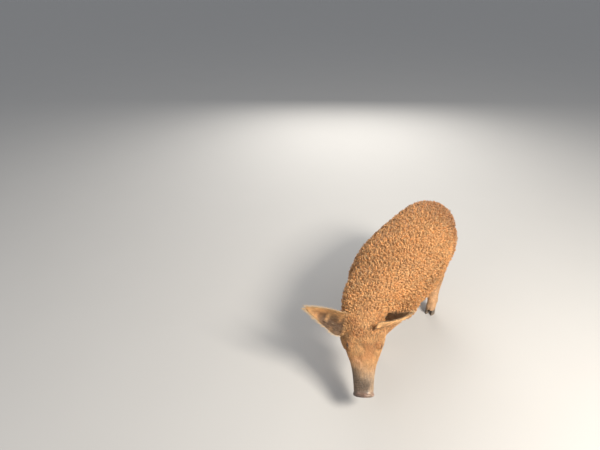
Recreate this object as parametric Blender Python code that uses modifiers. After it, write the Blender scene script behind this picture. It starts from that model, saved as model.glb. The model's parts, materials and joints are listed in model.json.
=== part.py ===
# A young red mangalica pig, head down to feed, standing on its own four feet.
# Metres, +Z up. The pig faces -Y and its left side is +X.
# The flesh is shaped whole from lofted sections, joined and parted with thin cuts.
# The curly coat is built as rounded clumps set close over the core of the coat.

import math
import random

import bmesh
import bpy
from mathutils import Matrix, Vector
from mathutils.bvhtree import BVHTree

# Driving dimensions

rearY = 0.50
gap = 0.0003
rootDepth = 0.012

# Trunk stations: distance forward of the rear end, half width, height of the back,
# height of the belly and height of the widest level
trunkStations = [
    (0.000, 0.030, 0.425, 0.355, 0.390),
    (0.022, 0.078, 0.465, 0.300, 0.380),
    (0.070, 0.120, 0.497, 0.240, 0.365),
    (0.150, 0.146, 0.517, 0.200, 0.350),
    (0.260, 0.165, 0.521, 0.178, 0.335),
    (0.370, 0.176, 0.515, 0.165, 0.322),
    (0.470, 0.177, 0.506, 0.163, 0.318),
    (0.560, 0.167, 0.493, 0.180, 0.324),
    (0.640, 0.143, 0.468, 0.212, 0.332),
    (0.700, 0.108, 0.432, 0.244, 0.335),
]

# The shoulders stand a little to the right while the neck turns left to the food
shoulderSway = -0.018

# Muscle bulges: side offset, forward distance, height, then the three radii
haunch = (0.088, 0.165, 0.325, 0.070, 0.120, 0.135)
shoulder = (0.092, 0.590, 0.305, 0.072, 0.090, 0.130)

# Head: pose, then sections as distance from the poll, half width, dorsal and ventral reach
headPoll = (-0.002, 0.838, 0.342)
headYaw = math.radians(31)
headPitch = math.radians(50)
headStations = [
    (-0.060, 0.082, 0.060, 0.085),
    (-0.020, 0.083, 0.068, 0.098),
    (0.030, 0.084, 0.068, 0.102),
    (0.080, 0.084, 0.062, 0.098),
    (0.125, 0.078, 0.051, 0.090),
    (0.165, 0.065, 0.042, 0.077),
    (0.205, 0.051, 0.037, 0.062),
    (0.250, 0.043, 0.034, 0.048),
    (0.290, 0.040, 0.033, 0.038),
    (0.315, 0.038, 0.033, 0.033),
]
jawStations = [
    (0.060, 0.052, -0.050, 0.060),
    (0.130, 0.046, -0.060, 0.046),
    (0.200, 0.035, -0.053, 0.029),
    (0.250, 0.029, -0.045, 0.019),
    (0.284, 0.024, -0.041, 0.014),
    (0.299, 0.012, -0.038, 0.008),
]
discSize = (0.0420, 0.0385, 0.0140)
discFrom = 0.307
nostril = (0.0155, 0.0020, 0.0074, 0.0094, 0.0140)
mouthLine = dict(back=0.176, front=0.3015, wrap=0.282, levels=(-0.0290, -0.0380, -0.0345),
                 thick=0.0026, inner=0.46)
jowl = (0.085, 0.050, -0.040, 0.078, 0.042, 0.054)
brow = (0.112, 0.052, 0.034, 0.028, 0.016, 0.014)
eyeRadius = 0.0120
eyeFrom = (0.122, 0.030, 0.014)
eyeAim = (0.16, 0.86, 0.48)
eyeSunk = 0.0105
lidThickness = 0.0026
eyeOpening = (0.0098, 0.0056)
eyeOpeningDepth = 0.009

# Ears: root and tip in head coordinates (along, left, up), the way the cup faces
earShapes = {
    "ear_right": dict(root=(0.056, -0.060, 0.036), tip=(-0.014, -0.234, 0.050),
                      faces=(0.30, 0.05, 1.0), halfWidth=0.052, arc=68),
    "ear_left": dict(root=(0.046, 0.054, 0.036), tip=(-0.002, 0.166, 0.132),
                     faces=(-0.874, -0.473, 0.114), halfWidth=0.053, arc=72),
}
earThickness = (0.0058, 0.0026)
earRootSpan = 0.30
earRootSink = 1.0

# Legs: foot place as left offset and forward distance; joints as height, share of the way
# from foot to top, forward shift, half width and half depth
footPlaces = {
    "fore_left": (-0.004, 0.675),
    "fore_right": (-0.105, 0.625),
    "hind_left": (0.130, 0.292),
    "hind_right": (-0.098, 0.115),
}
foreTop = (0.092, 0.600)
hindTop = (0.092, 0.195)
foreJoints = [
    (0.026, 0.00, 0.000, 0.0265, 0.0290),
    (0.046, 0.06, -0.004, 0.0270, 0.0275),
    (0.070, 0.18, -0.006, 0.0245, 0.0250),
    (0.105, 0.36, 0.000, 0.0265, 0.0275),
    (0.130, 0.50, 0.003, 0.0300, 0.0315),
    (0.165, 0.70, -0.004, 0.0330, 0.0380),
    (0.205, 0.90, -0.008, 0.0420, 0.0520),
    (0.250, 1.00, -0.004, 0.0500, 0.0620),
    (0.310, 1.00, 0.004, 0.0480, 0.0620),
]
hindJoints = [
    (0.026, 0.00, 0.000, 0.0265, 0.0290),
    (0.046, 0.03, -0.006, 0.0270, 0.0280),
    (0.072, 0.10, -0.016, 0.0240, 0.0260),
    (0.110, 0.22, -0.030, 0.0250, 0.0290),
    (0.142, 0.36, -0.040, 0.0280, 0.0340),
    (0.175, 0.56, -0.024, 0.0340, 0.0430),
    (0.215, 0.80, 0.008, 0.0440, 0.0600),
    (0.265, 1.00, 0.014, 0.0540, 0.0780),
    (0.330, 1.00, 0.000, 0.0560, 0.0850),
]

# Feet: claw length, width and height, cleft between the two claws, small claws behind
clawSize = (0.046, 0.0225, 0.0300)
cleft = 0.0030
clawShift = -0.002
smallClaw = dict(height=0.058, apart=0.0165, behind=0.016, length=0.024, width=0.0125)
toeTurn = math.radians(4)

# Tail: root height, length and radii, hanging in a loose curl
tailRoot = (0.012, 0.425)
tailLength = 0.150
tailRadii = (0.0150, 0.0060)

# Coat clumps: length, width and height of each kind, and how close they stand
clumpKinds = {
    "body": dict(length=0.086, width=0.078, height=0.037, spacing=0.0540),
    "neck": dict(length=0.078, width=0.070, height=0.035, spacing=0.0500),
    "crown": dict(length=0.050, width=0.044, height=0.022, spacing=0.0290),
}
clumpShape = dict(spread=0.14, taper=0.22, lift=0.10, curl=0.22, turn=0.35)
clumpTries = {"body": 12000, "neck": 9000, "crown": 6000}
clumpSeed = 24

# Where the curls stop: lowest level, level and clearance near the legs, neck and crown limits
coatLowest = 0.150
coatNearLegs = (0.225, 0.088)
neckFrom = 0.675
neckCoatLimits = (0.235, 0.075)
crownSpan = (-0.030, 0.098)
crownLowest = -0.045
crownEarClear = (0.034, 0.052, 0.036, 0.010)
crownCheek = (0.050, 0.080)

# Cuts that part the whole
headCut = (0.835, 0.350, math.radians(28))
headCutReach = (0.40, 0.26, 0.175, 0.60)
neckCut = (0.668, math.radians(-16))
legCuts = {"fore": (0.172, 0.78), "hind": (0.176, 0.62)}
legCutSize = (0.140, 0.185)
legCutTilt = math.radians(16)
coronetHeight = 0.0300
upright = (Vector((1, 0, 0)), Vector((0, 1, 0)), Vector((0, 0, 1)))

# Looks: colour and roughness of each material, and the nodes that don't wear the coat
looks = {
    "coat": ((0.56, 0.29, 0.13), 0.85),
    "ear_skin": ((0.48, 0.29, 0.17), 0.7),
    "eye_brown": ((0.03, 0.018, 0.012), 0.08),
    "horn": ((0.30, 0.24, 0.18), 0.55),
}
nodeLooks = {"ear": "ear_skin", "eye": "eye_brown", "claw": "horn", "dewclaw": "horn"}

# Mesh fineness
bodyVoxel = 0.0090
headVoxel = 0.0045
bodyTriangles = 2500
headTriangles = 1500
bodyCurlTriangles = 10400
headCurlTriangles = 2350


# Small tools

def clearScene():
    for obj in list(bpy.data.objects):
        bpy.data.objects.remove(obj, do_unlink=True)


def newObject(name, bm, collection):
    bm.normal_update()
    bmesh.ops.recalc_face_normals(bm, faces=bm.faces)
    bmesh.ops.triangulate(bm, faces=bm.faces)
    mesh = bpy.data.meshes.new(name)
    bm.to_mesh(mesh)
    bm.free()
    obj = bpy.data.objects.new(name, mesh)
    collection.objects.link(obj)
    return obj


def bodyPoint(left, forward, height):
    return Vector((left, rearY - forward, height))


def swayAt(forward):
    t = min(1.0, max(0.0, (forward - 0.22) / 0.38))
    return shoulderSway * t * t * (3 - 2 * t)


def legTop(name):
    # Left offset and forward distance of a leg's top under the trunk
    side = 1 if name.endswith("left") else -1
    left, forward = foreTop if name.startswith("fore") else hindTop
    return left * side + swayAt(forward), forward


def headFrame():
    along = Vector((math.sin(headYaw) * math.cos(headPitch),
                    -math.cos(headYaw) * math.cos(headPitch),
                    -math.sin(headPitch)))
    left = Vector((math.cos(headYaw), math.sin(headYaw), 0.0))
    up = along.cross(left)
    return along, left, up


def headPoint(along, left, up):
    a, l, u = headFrame()
    return bodyPoint(*headPoll) + a * along + l * left + u * up


def headDirection(along, left, up):
    a, l, u = headFrame()
    return (a * along + l * left + u * up).normalized()


def smoothBetween(stations, perSpan):
    # Catmull-Rom curve through the stations, column by column
    result = []
    last = len(stations) - 1
    for i in range(last):
        p0 = stations[max(i - 1, 0)]
        p1 = stations[i]
        p2 = stations[i + 1]
        p3 = stations[min(i + 2, last)]
        for step in range(perSpan):
            t = step / perSpan
            row = []
            for a, b, c, d in zip(p0, p1, p2, p3):
                row.append(0.5 * (2 * b + (c - a) * t + (2 * a - 5 * b + 4 * c - d) * t * t
                                  + (3 * b - a - 3 * c + d) * t ** 3))
            result.append(tuple(row))
    result.append(tuple(stations[last]))
    return result


def ring(center, side, up, halfWidth, upReach, downReach, count=24, fullness=0.92):
    points = []
    for i in range(count):
        angle = 2 * math.pi * i / count
        c = math.cos(angle)
        s = math.sin(angle)
        x = halfWidth * math.copysign(abs(c) ** fullness, c)
        reach = upReach if s >= 0 else downReach
        z = reach * math.copysign(abs(s) ** fullness, s)
        points.append(center + side * x + up * z)
    return points


def loft(name, rings, collection, thin=False):
    bm = bmesh.new()
    rows = [[bm.verts.new(p) for p in points] for points in rings]
    count = len(rows[0])
    for lower, upper in zip(rows[:-1], rows[1:]):
        for i in range(count):
            j = (i + 1) % count
            bm.faces.new((lower[i], lower[j], upper[j], upper[i]))
    if thin:
        # A flat ring closes as a strip between its two faces
        for row in (rows[0], rows[-1]):
            for i in range(count // 2 - 1):
                bm.faces.new((row[i], row[i + 1], row[count - 2 - i], row[count - 1 - i]))
    else:
        bm.faces.new(rows[0][::-1])
        bm.faces.new(rows[-1])
    return newObject(name, bm, collection)


def ellipsoid(name, center, axes, radii, collection, segments=20, rings=12):
    bm = bmesh.new()
    bmesh.ops.create_uvsphere(bm, u_segments=segments, v_segments=rings, radius=1.0)
    turn = Matrix((axes[0] * radii[0], axes[1] * radii[1], axes[2] * radii[2])).transposed()
    for vert in bm.verts:
        vert.co = center + turn @ vert.co
    return newObject(name, bm, collection)


def box(name, center, axes, sizes, collection):
    bm = bmesh.new()
    bmesh.ops.create_cube(bm, size=1.0)
    turn = Matrix((axes[0] * sizes[0], axes[1] * sizes[1], axes[2] * sizes[2])).transposed()
    for vert in bm.verts:
        vert.co = center + turn @ vert.co
    return newObject(name, bm, collection)


def applyModifiers(obj):
    depsgraph = bpy.context.evaluated_depsgraph_get()
    mesh = bpy.data.meshes.new_from_object(obj.evaluated_get(depsgraph))
    obj.modifiers.clear()
    old = obj.data
    obj.data = mesh
    bpy.data.meshes.remove(old)
    return obj


def removeObjects(objects):
    for obj in objects:
        bpy.data.objects.remove(obj, do_unlink=True)


def surfaceTree(obj):
    return BVHTree.FromPolygons([v.co for v in obj.data.vertices],
                                [tuple(face.vertices) for face in obj.data.polygons])


def islands(bm):
    left = set(bm.faces)
    groups = []
    while left:
        start = left.pop()
        group = [start]
        queue = [start]
        while queue:
            face = queue.pop()
            for edge in face.edges:
                for other in edge.link_faces:
                    if other in left:
                        left.remove(other)
                        group.append(other)
                        queue.append(other)
        groups.append(group)
    return groups


def volumeOf(faces):
    total = 0.0
    for face in faces:
        corners = [v.co for v in face.verts]
        for b, c in zip(corners[1:-1], corners[2:]):
            total += corners[0].dot(b.cross(c)) / 6
    return total


def tidyMesh(bm):
    bmesh.ops.remove_doubles(bm, verts=bm.verts, dist=0.00002)
    bmesh.ops.dissolve_degenerate(bm, edges=bm.edges, dist=0.00002)
    bmesh.ops.triangulate(bm, faces=bm.faces)


def keepLargest(obj):
    bm = bmesh.new()
    bm.from_mesh(obj.data)
    tidyMesh(bm)
    groups = islands(bm)
    groups.sort(key=lambda faces: volumeOf(faces), reverse=True)
    drop = [face for group in groups[1:] for face in group]
    bmesh.ops.delete(bm, geom=drop, context="FACES")
    bm.to_mesh(obj.data)
    bm.free()
    return obj


def boolean(obj, operation, others, solver="EXACT", parted=False):
    holder = bpy.data.collections.new("cutters")
    bpy.context.scene.collection.children.link(holder)
    for other in others:
        for owner in list(other.users_collection):
            owner.objects.unlink(other)
        holder.objects.link(other)
        other.hide_render = True
        other.display_type = "WIRE"
    modifier = obj.modifiers.new(operation.lower(), "BOOLEAN")
    modifier.operation = operation
    modifier.operand_type = "COLLECTION"
    modifier.collection = holder
    modifier.solver = solver
    applyModifiers(obj)
    removeObjects(list(holder.objects))
    bpy.data.collections.remove(holder)
    return obj if parted else keepLargest(obj)


def grownCopy(obj, amount, collection):
    copy = bpy.data.objects.new(obj.name + "_grown", obj.data.copy())
    collection.objects.link(copy)
    modifier = copy.modifiers.new("grow", "DISPLACE")
    modifier.strength = amount
    modifier.mid_level = 0.0
    return applyModifiers(copy)


def thinOut(obj, triangles):
    # Collapses the short edges that a union leaves along its seams
    decimate = obj.modifiers.new("decimate", "DECIMATE")
    decimate.ratio = min(1.0, triangles / len(obj.data.polygons))
    decimate.use_collapse_triangulate = True
    applyModifiers(obj)
    return keepLargest(obj)


def fuseSmooth(name, pieces, voxel, rounds, triangles, collection):
    # Overlapping closed lofts become one soft skin
    bm = bmesh.new()
    for piece in pieces:
        bm.from_mesh(piece.data)
    obj = newObject(name, bm, collection)
    remesh = obj.modifiers.new("remesh", "REMESH")
    remesh.mode = "VOXEL"
    remesh.voxel_size = voxel
    smooth = obj.modifiers.new("smooth", "SMOOTH")
    smooth.factor = 0.5
    smooth.iterations = rounds
    applyModifiers(obj)
    keepLargest(obj)
    return thinOut(obj, triangles)


# Flesh

def trunkPiece(collection):
    rings = []
    for forward, half, top, bottom, level in smoothBetween(trunkStations, 4):
        center = bodyPoint(swayAt(forward), forward, level)
        rings.append(ring(center, Vector((1, 0, 0)), Vector((0, 0, 1)), half,
                          top - level, level - bottom, 32))
    return loft("trunk", rings, collection)


def bulges(collection):
    pieces = []
    for left, forward, height, rx, ry, rz in (haunch, shoulder):
        for side in (-1, 1):
            center = bodyPoint(left * side + swayAt(forward), forward, height)
            pieces.append(ellipsoid("bulge", center, upright, (rx, ry, rz), collection))
    return pieces


def neckPiece(collection):
    along, left, up = headFrame()
    start = bodyPoint(swayAt(0.6), 0.600, 0.345)
    end = headPoint(0.0, 0.0, -0.010)
    reach = (end - start).length
    startPull = start + Vector((0, -1, 0)) * reach * 0.45
    endPull = end - along * reach * 0.30
    rings = []
    steps = 14
    for i in range(steps + 1):
        t = i / steps
        k = 1 - t
        center = (start * k ** 3 + startPull * 3 * k * k * t
                  + endPull * 3 * k * t * t + end * t ** 3)
        tangent = ((startPull - start) * k * k + (endPull - startPull) * 2 * k * t
                   + (end - endPull) * t * t).normalized()
        side = Vector((1, 0, 0)).lerp(left, t)
        side = (side - tangent * side.dot(tangent)).normalized()
        over = tangent.cross(side)
        half = 0.138 * k + 0.080 * t - 0.004 * math.sin(math.pi * t)
        rings.append(ring(center, side, over, half, 0.124 * k + 0.074 * t,
                          0.124 * k + 0.094 * t, 28))
    return loft("neck", rings, collection)


def headPieces(collection):
    along, left, up = headFrame()
    axes = (along, left, up)
    pieces = []
    rings = []
    for s, half, dorsal, ventral in smoothBetween(headStations, 3):
        rings.append(ring(headPoint(s, 0, 0), left, up, half, dorsal, ventral, 28, 0.88))
    pieces.append(loft("skull", rings, collection))
    rings = []
    for s, half, level, reach in smoothBetween(jawStations, 3):
        rings.append(ring(headPoint(s, 0, level), left, up, half, reach, reach, 20))
    pieces.append(loft("jaw", rings, collection))
    discWide, discHigh, discThick = discSize
    rings = []
    for share, scale in ((0.0, 0.86), (0.25, 0.98), (0.6, 1.0), (0.9, 0.96), (1.0, 0.88)):
        center = headPoint(discFrom + discThick * share, 0, 0.001)
        rings.append(ring(center, left, up, discWide * scale, discHigh * scale,
                          discHigh * scale * 0.95, 28, 0.9))
    pieces.append(loft("disc", rings, collection))
    for side in (-1, 1):
        for s, out, high, rs, ro, rh in (jowl, brow):
            pieces.append(ellipsoid("cheek", headPoint(s, out * side, high), axes,
                                    (rs, ro, rh), collection))
    return pieces


def legPiece(name, collection):
    footLeft, footForward = footPlaces[name]
    topLeft, topForward = legTop(name)
    joints = foreJoints if name.startswith("fore") else hindJoints
    rings = []
    for height, share, shift, half, deep in smoothBetween(joints, 3):
        center = bodyPoint(footLeft + (topLeft - footLeft) * share,
                           footForward + (topForward - footForward) * share + shift, height)
        rings.append(ring(center, Vector((1, 0, 0)), Vector((0, 1, 0)), half, deep, deep, 20))
    return loft(name, rings, collection)


# Coat

def clumpMesh(kind, rng):
    # One rounded clump: a coarse ball, narrower and a little raised towards its tip
    size = clumpKinds[kind]
    least, most = 1 - clumpShape["spread"], 1 + clumpShape["spread"]
    length = size["length"] * rng.uniform(least, most)
    width = size["width"] * rng.uniform(least, most)
    height = size["height"] * rng.uniform(least, most)
    curl = rng.uniform(-clumpShape["curl"], clumpShape["curl"])
    bm = bmesh.new()
    bmesh.ops.create_uvsphere(bm, u_segments=6, v_segments=4, radius=0.5)
    for vert in bm.verts:
        across, over, back = vert.co
        t = back + 0.5
        taper = 1.0 - clumpShape["taper"] * t * t
        vert.co = Vector((width * (across * taper + curl * t * t * 0.5),
                          length * back,
                          height * (over * taper + clumpShape["lift"] * t * t)))
    return bm


def lieAt(point, normal):
    # The coat lies back along the body and down its sides
    side = math.copysign(1.0, point.x) * min(1.0, abs(point.x) / 0.10)
    lie = Vector((0.10 * side, 1.0, -0.55 * abs(side)))
    return (lie - normal * lie.dot(normal)).normalized()


def scatter(surface, kind, allowed, count, rng):
    spacing = clumpKinds[kind]["spacing"]
    mesh = surface.data
    faces = []
    total = 0.0
    for face in mesh.polygons:
        total += face.area
        faces.append((total, face))
    tree = surfaceTree(surface)
    chosen = []
    for _ in range(count):
        pick = rng.uniform(0.0, total)
        low, high = 0, len(faces) - 1
        while low < high:
            index = (low + high) // 2
            if faces[index][0] < pick:
                low = index + 1
            else:
                high = index
        face = faces[low][1]
        corners = [mesh.vertices[i].co for i in face.vertices]
        a, b = sorted((rng.random(), rng.random()))
        point = corners[0] * a + corners[1] * (b - a) + corners[2] * (1 - b)
        point, normal, _, _ = tree.find_nearest(point)
        if not allowed(point):
            continue
        if any((point - other).length < spacing for other, _ in chosen):
            continue
        chosen.append((point, normal))
    return chosen


def softNormal(tree, point, normal):
    # Mean normal over a small patch, so that a clump doesn't follow one facet
    found = tree.find_nearest_range(point, 0.035)
    total = normal.copy()
    for _, other, _, _ in found:
        total += other
    return total.normalized()


def clumpsOn(surface, kind, allowed, rng, collection):
    tree = surfaceTree(surface)
    made = []
    for point, normal in scatter(surface, kind, allowed, clumpTries[kind], rng):
        normal = softNormal(tree, point, normal)
        lie = lieAt(point, normal)
        across = lie.cross(normal)
        turn = Matrix.Rotation(rng.uniform(-clumpShape["turn"], clumpShape["turn"]), 3, normal)
        axes = Matrix((across, lie, normal)).transposed()
        bm = clumpMesh(kind, rng)
        for vert in bm.verts:
            vert.co = point + turn @ (axes @ vert.co)
        made.append(newObject("clump", bm, collection))
    return made


def nearLeg(point):
    # Distance from a point to the nearest leg's middle line at the same level
    nearest = 1.0
    for name, (footLeft, footForward) in footPlaces.items():
        topLeft, topForward = legTop(name)
        share = min(1.0, point.z / 0.24)
        middle = bodyPoint(footLeft + (topLeft - footLeft) * share,
                           footForward + (topForward - footForward) * share, point.z)
        nearest = min(nearest, (middle - point).length)
    return nearest


def onBody(point):
    # The body's curls stop at the tops of the legs and behind the head
    if point.z < coatLowest or rearY - point.y > neckFrom:
        return False
    level, clear = coatNearLegs
    return point.z >= level or nearLeg(point) > clear


def onNeck(point):
    along, _, _ = headFrame()
    if rearY - point.y <= neckFrom or (point - headPoint(0, 0, 0)).dot(along) > 0.0:
        return False
    lowest, clear = neckCoatLimits
    return point.z > lowest and nearLeg(point) > clear


def onCrown(point):
    # Forehead, poll and upper cheeks, clear of ears and eyes
    a, l, u = headFrame()
    away = point - headPoint(0, 0, 0)
    local = Vector((away.dot(a), away.dot(l), away.dot(u)))
    if not crownSpan[0] < local.x < crownSpan[1] or local.z < crownLowest:
        return False
    clear, length, side, level = crownEarClear
    for shape in earShapes.values():
        root = Vector(shape["root"])
        beside = local.y * root.y > 0 and abs(local.y) > side and local.z > level
        if (local - root).length < clear or (beside and abs(local.x - root.x) < length):
            return False
    return abs(local.y) < crownCheek[0] or local.x < crownCheek[1]


# Feet

def clawPiece(name, center, turn, side, collection):
    # One claw: flat sole, sloping front wall, straight side at the cleft
    length, width, height = clawSize
    rings = []
    for z, scale, shift in ((0.0, 1.0, 0.0), (0.004, 1.02, 0.001), (height, 0.84, 0.007)):
        points = []
        for i in range(12):
            angle = 2 * math.pi * i / 12
            x = math.cos(angle)
            y = math.sin(angle)
            point = 0.5 + 0.5 * max(0.0, -y)
            across = width / 2 * x * (1.0 - 0.55 * (point - 0.5) * 2 * abs(y))
            if x * side < 0:
                across *= 0.85
            points.append(center + turn @ Vector((across * scale, length / 2 * y * scale + shift, z)))
        rings.append(points)
    return loft(name, rings, collection)


def smallClawPiece(name, base, turn, collection):
    length = smallClaw["length"]
    width = smallClaw["width"]
    rings = []
    for t, scale in ((0.0, 1.0), (0.45, 0.92), (0.8, 0.62), (1.0, 0.28)):
        center = base + turn @ Vector((0.0, 0.010 + length * t * 0.55, -length * t * 0.75))
        rings.append(ring(center, turn @ Vector((1, 0, 0)), turn @ Vector((0, 0.75, 0.55)),
                          width / 2 * scale, width / 2 * scale, width / 2 * scale, 8, 1.0))
    return loft(name, rings, collection)


# Head details

def eyePlace(side, tree):
    start = headPoint(eyeFrom[0], eyeFrom[1] * side, eyeFrom[2])
    aim = headDirection(eyeAim[0], eyeAim[1] * side, eyeAim[2])
    hit, _, _, _ = tree.ray_cast(start, aim)
    return hit - aim * eyeSunk, aim


def earPiece(name, collection):
    shape = earShapes[name]
    root = headPoint(*shape["root"])
    tip = headPoint(*shape["tip"])
    reach = tip - root
    length = reach.length
    axis = reach.normalized()
    faces = headDirection(*shape["faces"])
    faces = (faces - axis * faces.dot(axis)).normalized()
    side = axis.cross(faces)
    rows = 7
    columns = 6
    inner = []
    outer = []
    for i in range(rows + 1):
        u = i / rows
        half = shape["halfWidth"] * (0.80 + 0.20 * math.sin(math.pi * min(0.5, u * 2.2)))
        half *= max(0.0, 1.0 - u ** 1.35) ** 0.86 + 0.045
        arc = math.radians(shape["arc"]) * (1.0 - 0.55 * u)
        toRoot = max(0.0, 1.0 - u / earRootSpan)
        sink = 1.0 - earRootSink * toRoot * toRoot * (3 - 2 * toRoot)
        line = root + axis * length * u - faces * 0.010 * math.sin(math.pi * u)
        innerRow = []
        outerRow = []
        for j in range(columns + 1):
            v = 2 * j / columns - 1
            angle = v * arc
            radius = half / math.sin(arc)
            normal = faces * math.cos(angle) - side * math.sin(angle)
            point = line + side * radius * math.sin(angle)
            point += faces * radius * (1 - math.cos(angle)) * sink
            thick = earThickness[0] * (1 - abs(v) ** 2) * (1 - 0.5 * u)
            thick += earThickness[1] * (1 - 0.3 * u)
            innerRow.append(point + normal * thick / 2)
            outerRow.append(point - normal * thick / 2)
        inner.append(innerRow)
        outer.append(outerRow)
    rings = [row + back[::-1] for row, back in zip(inner, outer)]
    return loft(name, rings, collection, thin=True)


def mouthCutters(collection):
    # The line of the mouth, as a thin slot round the muzzle, and two nostrils
    along, left, up = headFrame()
    back = mouthLine["back"]
    front = mouthLine["front"]
    atBack, atMiddle, atFront = mouthLine["levels"]
    half = mouthLine["thick"] / 2
    rows = [row for row in smoothBetween(headStations, 3) if back < row[0] < front]
    rows.append((front, 0.042, 0.0, 0.0))
    cutters = []
    for side in (-1, 1):
        rings = []
        for s, wide, _, _ in rows:
            t = (s - back) / (front - back)
            level = (1 - t) ** 2 * atBack + 2 * t * (1 - t) * atMiddle + t * t * atFront
            fade = min(1.0, 0.35 + 3.0 * t)
            inside = wide * (1 - (1 - mouthLine["inner"]) * fade) if s < mouthLine["wrap"] else 0.0
            corners = ((inside, -half), (wide * 1.5, -half), (wide * 1.5, half), (inside, half))
            rings.append([headPoint(s, side * out, level + high) for out, high in corners])
        cutters.append(loft("mouth", rings, collection))
    front = discFrom + discSize[2]
    out, high, wide, tall, deep = nostril
    for side in (-1, 1):
        center = headPoint(front, out * side, high)
        cutters.append(ellipsoid("nostril", center, (along, left, up), (deep, wide, tall),
                                 collection, 12, 8))
    return cutters


def tailPiece(collection):
    start = bodyPoint(0.0, tailRoot[0], tailRoot[1])
    rings = []
    steps = 14
    point = start - Vector((0, rootDepth, 0))
    turnDown = 0.0
    for i in range(steps + 1):
        t = i / steps
        radius = tailRadii[0] * (1 - t) + tailRadii[1] * t
        if t > 0.93:
            radius *= 0.6
        turnDown = min(1.0, t * 2.6)
        swing = math.sin(t * 5.2) * 0.75 * t
        heading = Vector((swing, 1.0 - turnDown * 1.02, -turnDown)).normalized()
        side = Vector((1, 0, 0))
        side = (side - heading * side.dot(heading)).normalized()
        over = heading.cross(side)
        rings.append(ring(point, side, over, radius, radius, radius, 10, 1.0))
        point = point + heading * tailLength / steps
    return loft("tail", rings, collection)


def material(name, color, roughness):
    made = bpy.data.materials.new(name)
    made.use_nodes = True
    shader = made.node_tree.nodes["Principled BSDF"]
    shader.inputs["Base Color"].default_value = (*color, 1.0)
    shader.inputs["Roughness"].default_value = roughness
    shader.inputs["Metallic"].default_value = 0.0
    return made


def headRoom(grow, collection):
    # The space in front of the cut between neck and head, larger or smaller by half the gap
    forward, height, lean = headCut
    wide, over, under, deep = headCutReach
    _, left, _ = headFrame()
    ahead = Vector((math.sin(headYaw) * math.cos(lean), -math.cos(headYaw) * math.cos(lean),
                    -math.sin(lean)))
    above = ahead.cross(left)
    center = bodyPoint(headPoll[0], forward, height) + ahead * deep / 2
    center += above * (over - under) / 2
    sizes = (wide + 2 * grow, over + under + 2 * grow, deep + 2 * grow)
    return box("headroom", center, (left, above, ahead), sizes, collection)


def nameIslands(whole, seeds, collection):
    # Each closed island of the parted whole takes the name of the nearest seed point
    bm = bmesh.new()
    bm.from_mesh(whole.data)
    groups = [group for group in islands(bm) if volumeOf(group) > 2e-6]
    best = {}
    for group in groups:
        points = [v.co for face in group for v in face.verts]
        center = sum(points, Vector()) / len(points)
        name = min(seeds, key=lambda key: (seeds[key] - center).length)
        if name not in best or volumeOf(group) > volumeOf(best[name]):
            best[name] = group
    made = {}
    for name, group in best.items():
        part = bmesh.new()
        copies = {}
        for face in group:
            for vert in face.verts:
                if vert not in copies:
                    copies[vert] = part.verts.new(vert.co)
            part.faces.new([copies[vert] for vert in face.verts])
        made[name] = newObject(name, part, collection)
    bm.free()
    removeObjects([whole])
    return made


def finish(pig, shaping):
    # Centre the whole over its own footprint and give each node its material
    low = Vector((1e9, 1e9, 1e9))
    high = -low
    for obj in pig.objects:
        for vert in obj.data.vertices:
            for axis in range(3):
                low[axis] = min(low[axis], vert.co[axis])
                high[axis] = max(high[axis], vert.co[axis])
    shift = Vector((-(low.x + high.x) / 2, -(low.y + high.y) / 2, -low.z))
    made = {key: material(key, *look) for key, look in looks.items()}
    for obj in pig.objects:
        for vert in obj.data.vertices:
            vert.co += shift
        obj.data.materials.clear()
        kind = next((k for k in nodeLooks if obj.name.startswith(k)), "coat")
        obj.data.materials.append(made[nodeLooks.get(kind, "coat")])
        obj.data.shade_smooth()
        obj.data.set_sharp_from_angle(angle=math.radians(50))
    removeObjects(list(shaping.objects))
    print("size", [round(v, 4) for v in high - low], "shift", [round(v, 4) for v in shift])


def makeFlesh(pig, shaping):
    # Whole flesh in two finenesses: body and head
    heads = headPieces(shaping)
    neck = neckPiece(shaping)
    body = [trunkPiece(shaping), neck] + bulges(shaping)
    body += [legPiece(name, shaping) for name in footPlaces] + heads
    bodyFlesh = fuseSmooth("body", body, bodyVoxel, 6, bodyTriangles, pig)
    headFlesh = fuseSmooth("head", heads + [neck], headVoxel, 5, headTriangles, pig)
    removeObjects(body)
    return bodyFlesh, headFlesh


def makeCoat(bodyFlesh, headFlesh, shaping):
    # Curls, joined to the core before it is parted
    rng = random.Random(clumpSeed)
    curls = clumpsOn(bodyFlesh, "body", onBody, rng, shaping)
    curls += clumpsOn(bodyFlesh, "neck", onNeck, rng, shaping)
    boolean(bodyFlesh, "UNION", curls)
    thinOut(bodyFlesh, bodyCurlTriangles)
    boolean(headFlesh, "UNION", clumpsOn(headFlesh, "crown", onCrown, rng, shaping))
    thinOut(headFlesh, headCurlTriangles)


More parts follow.
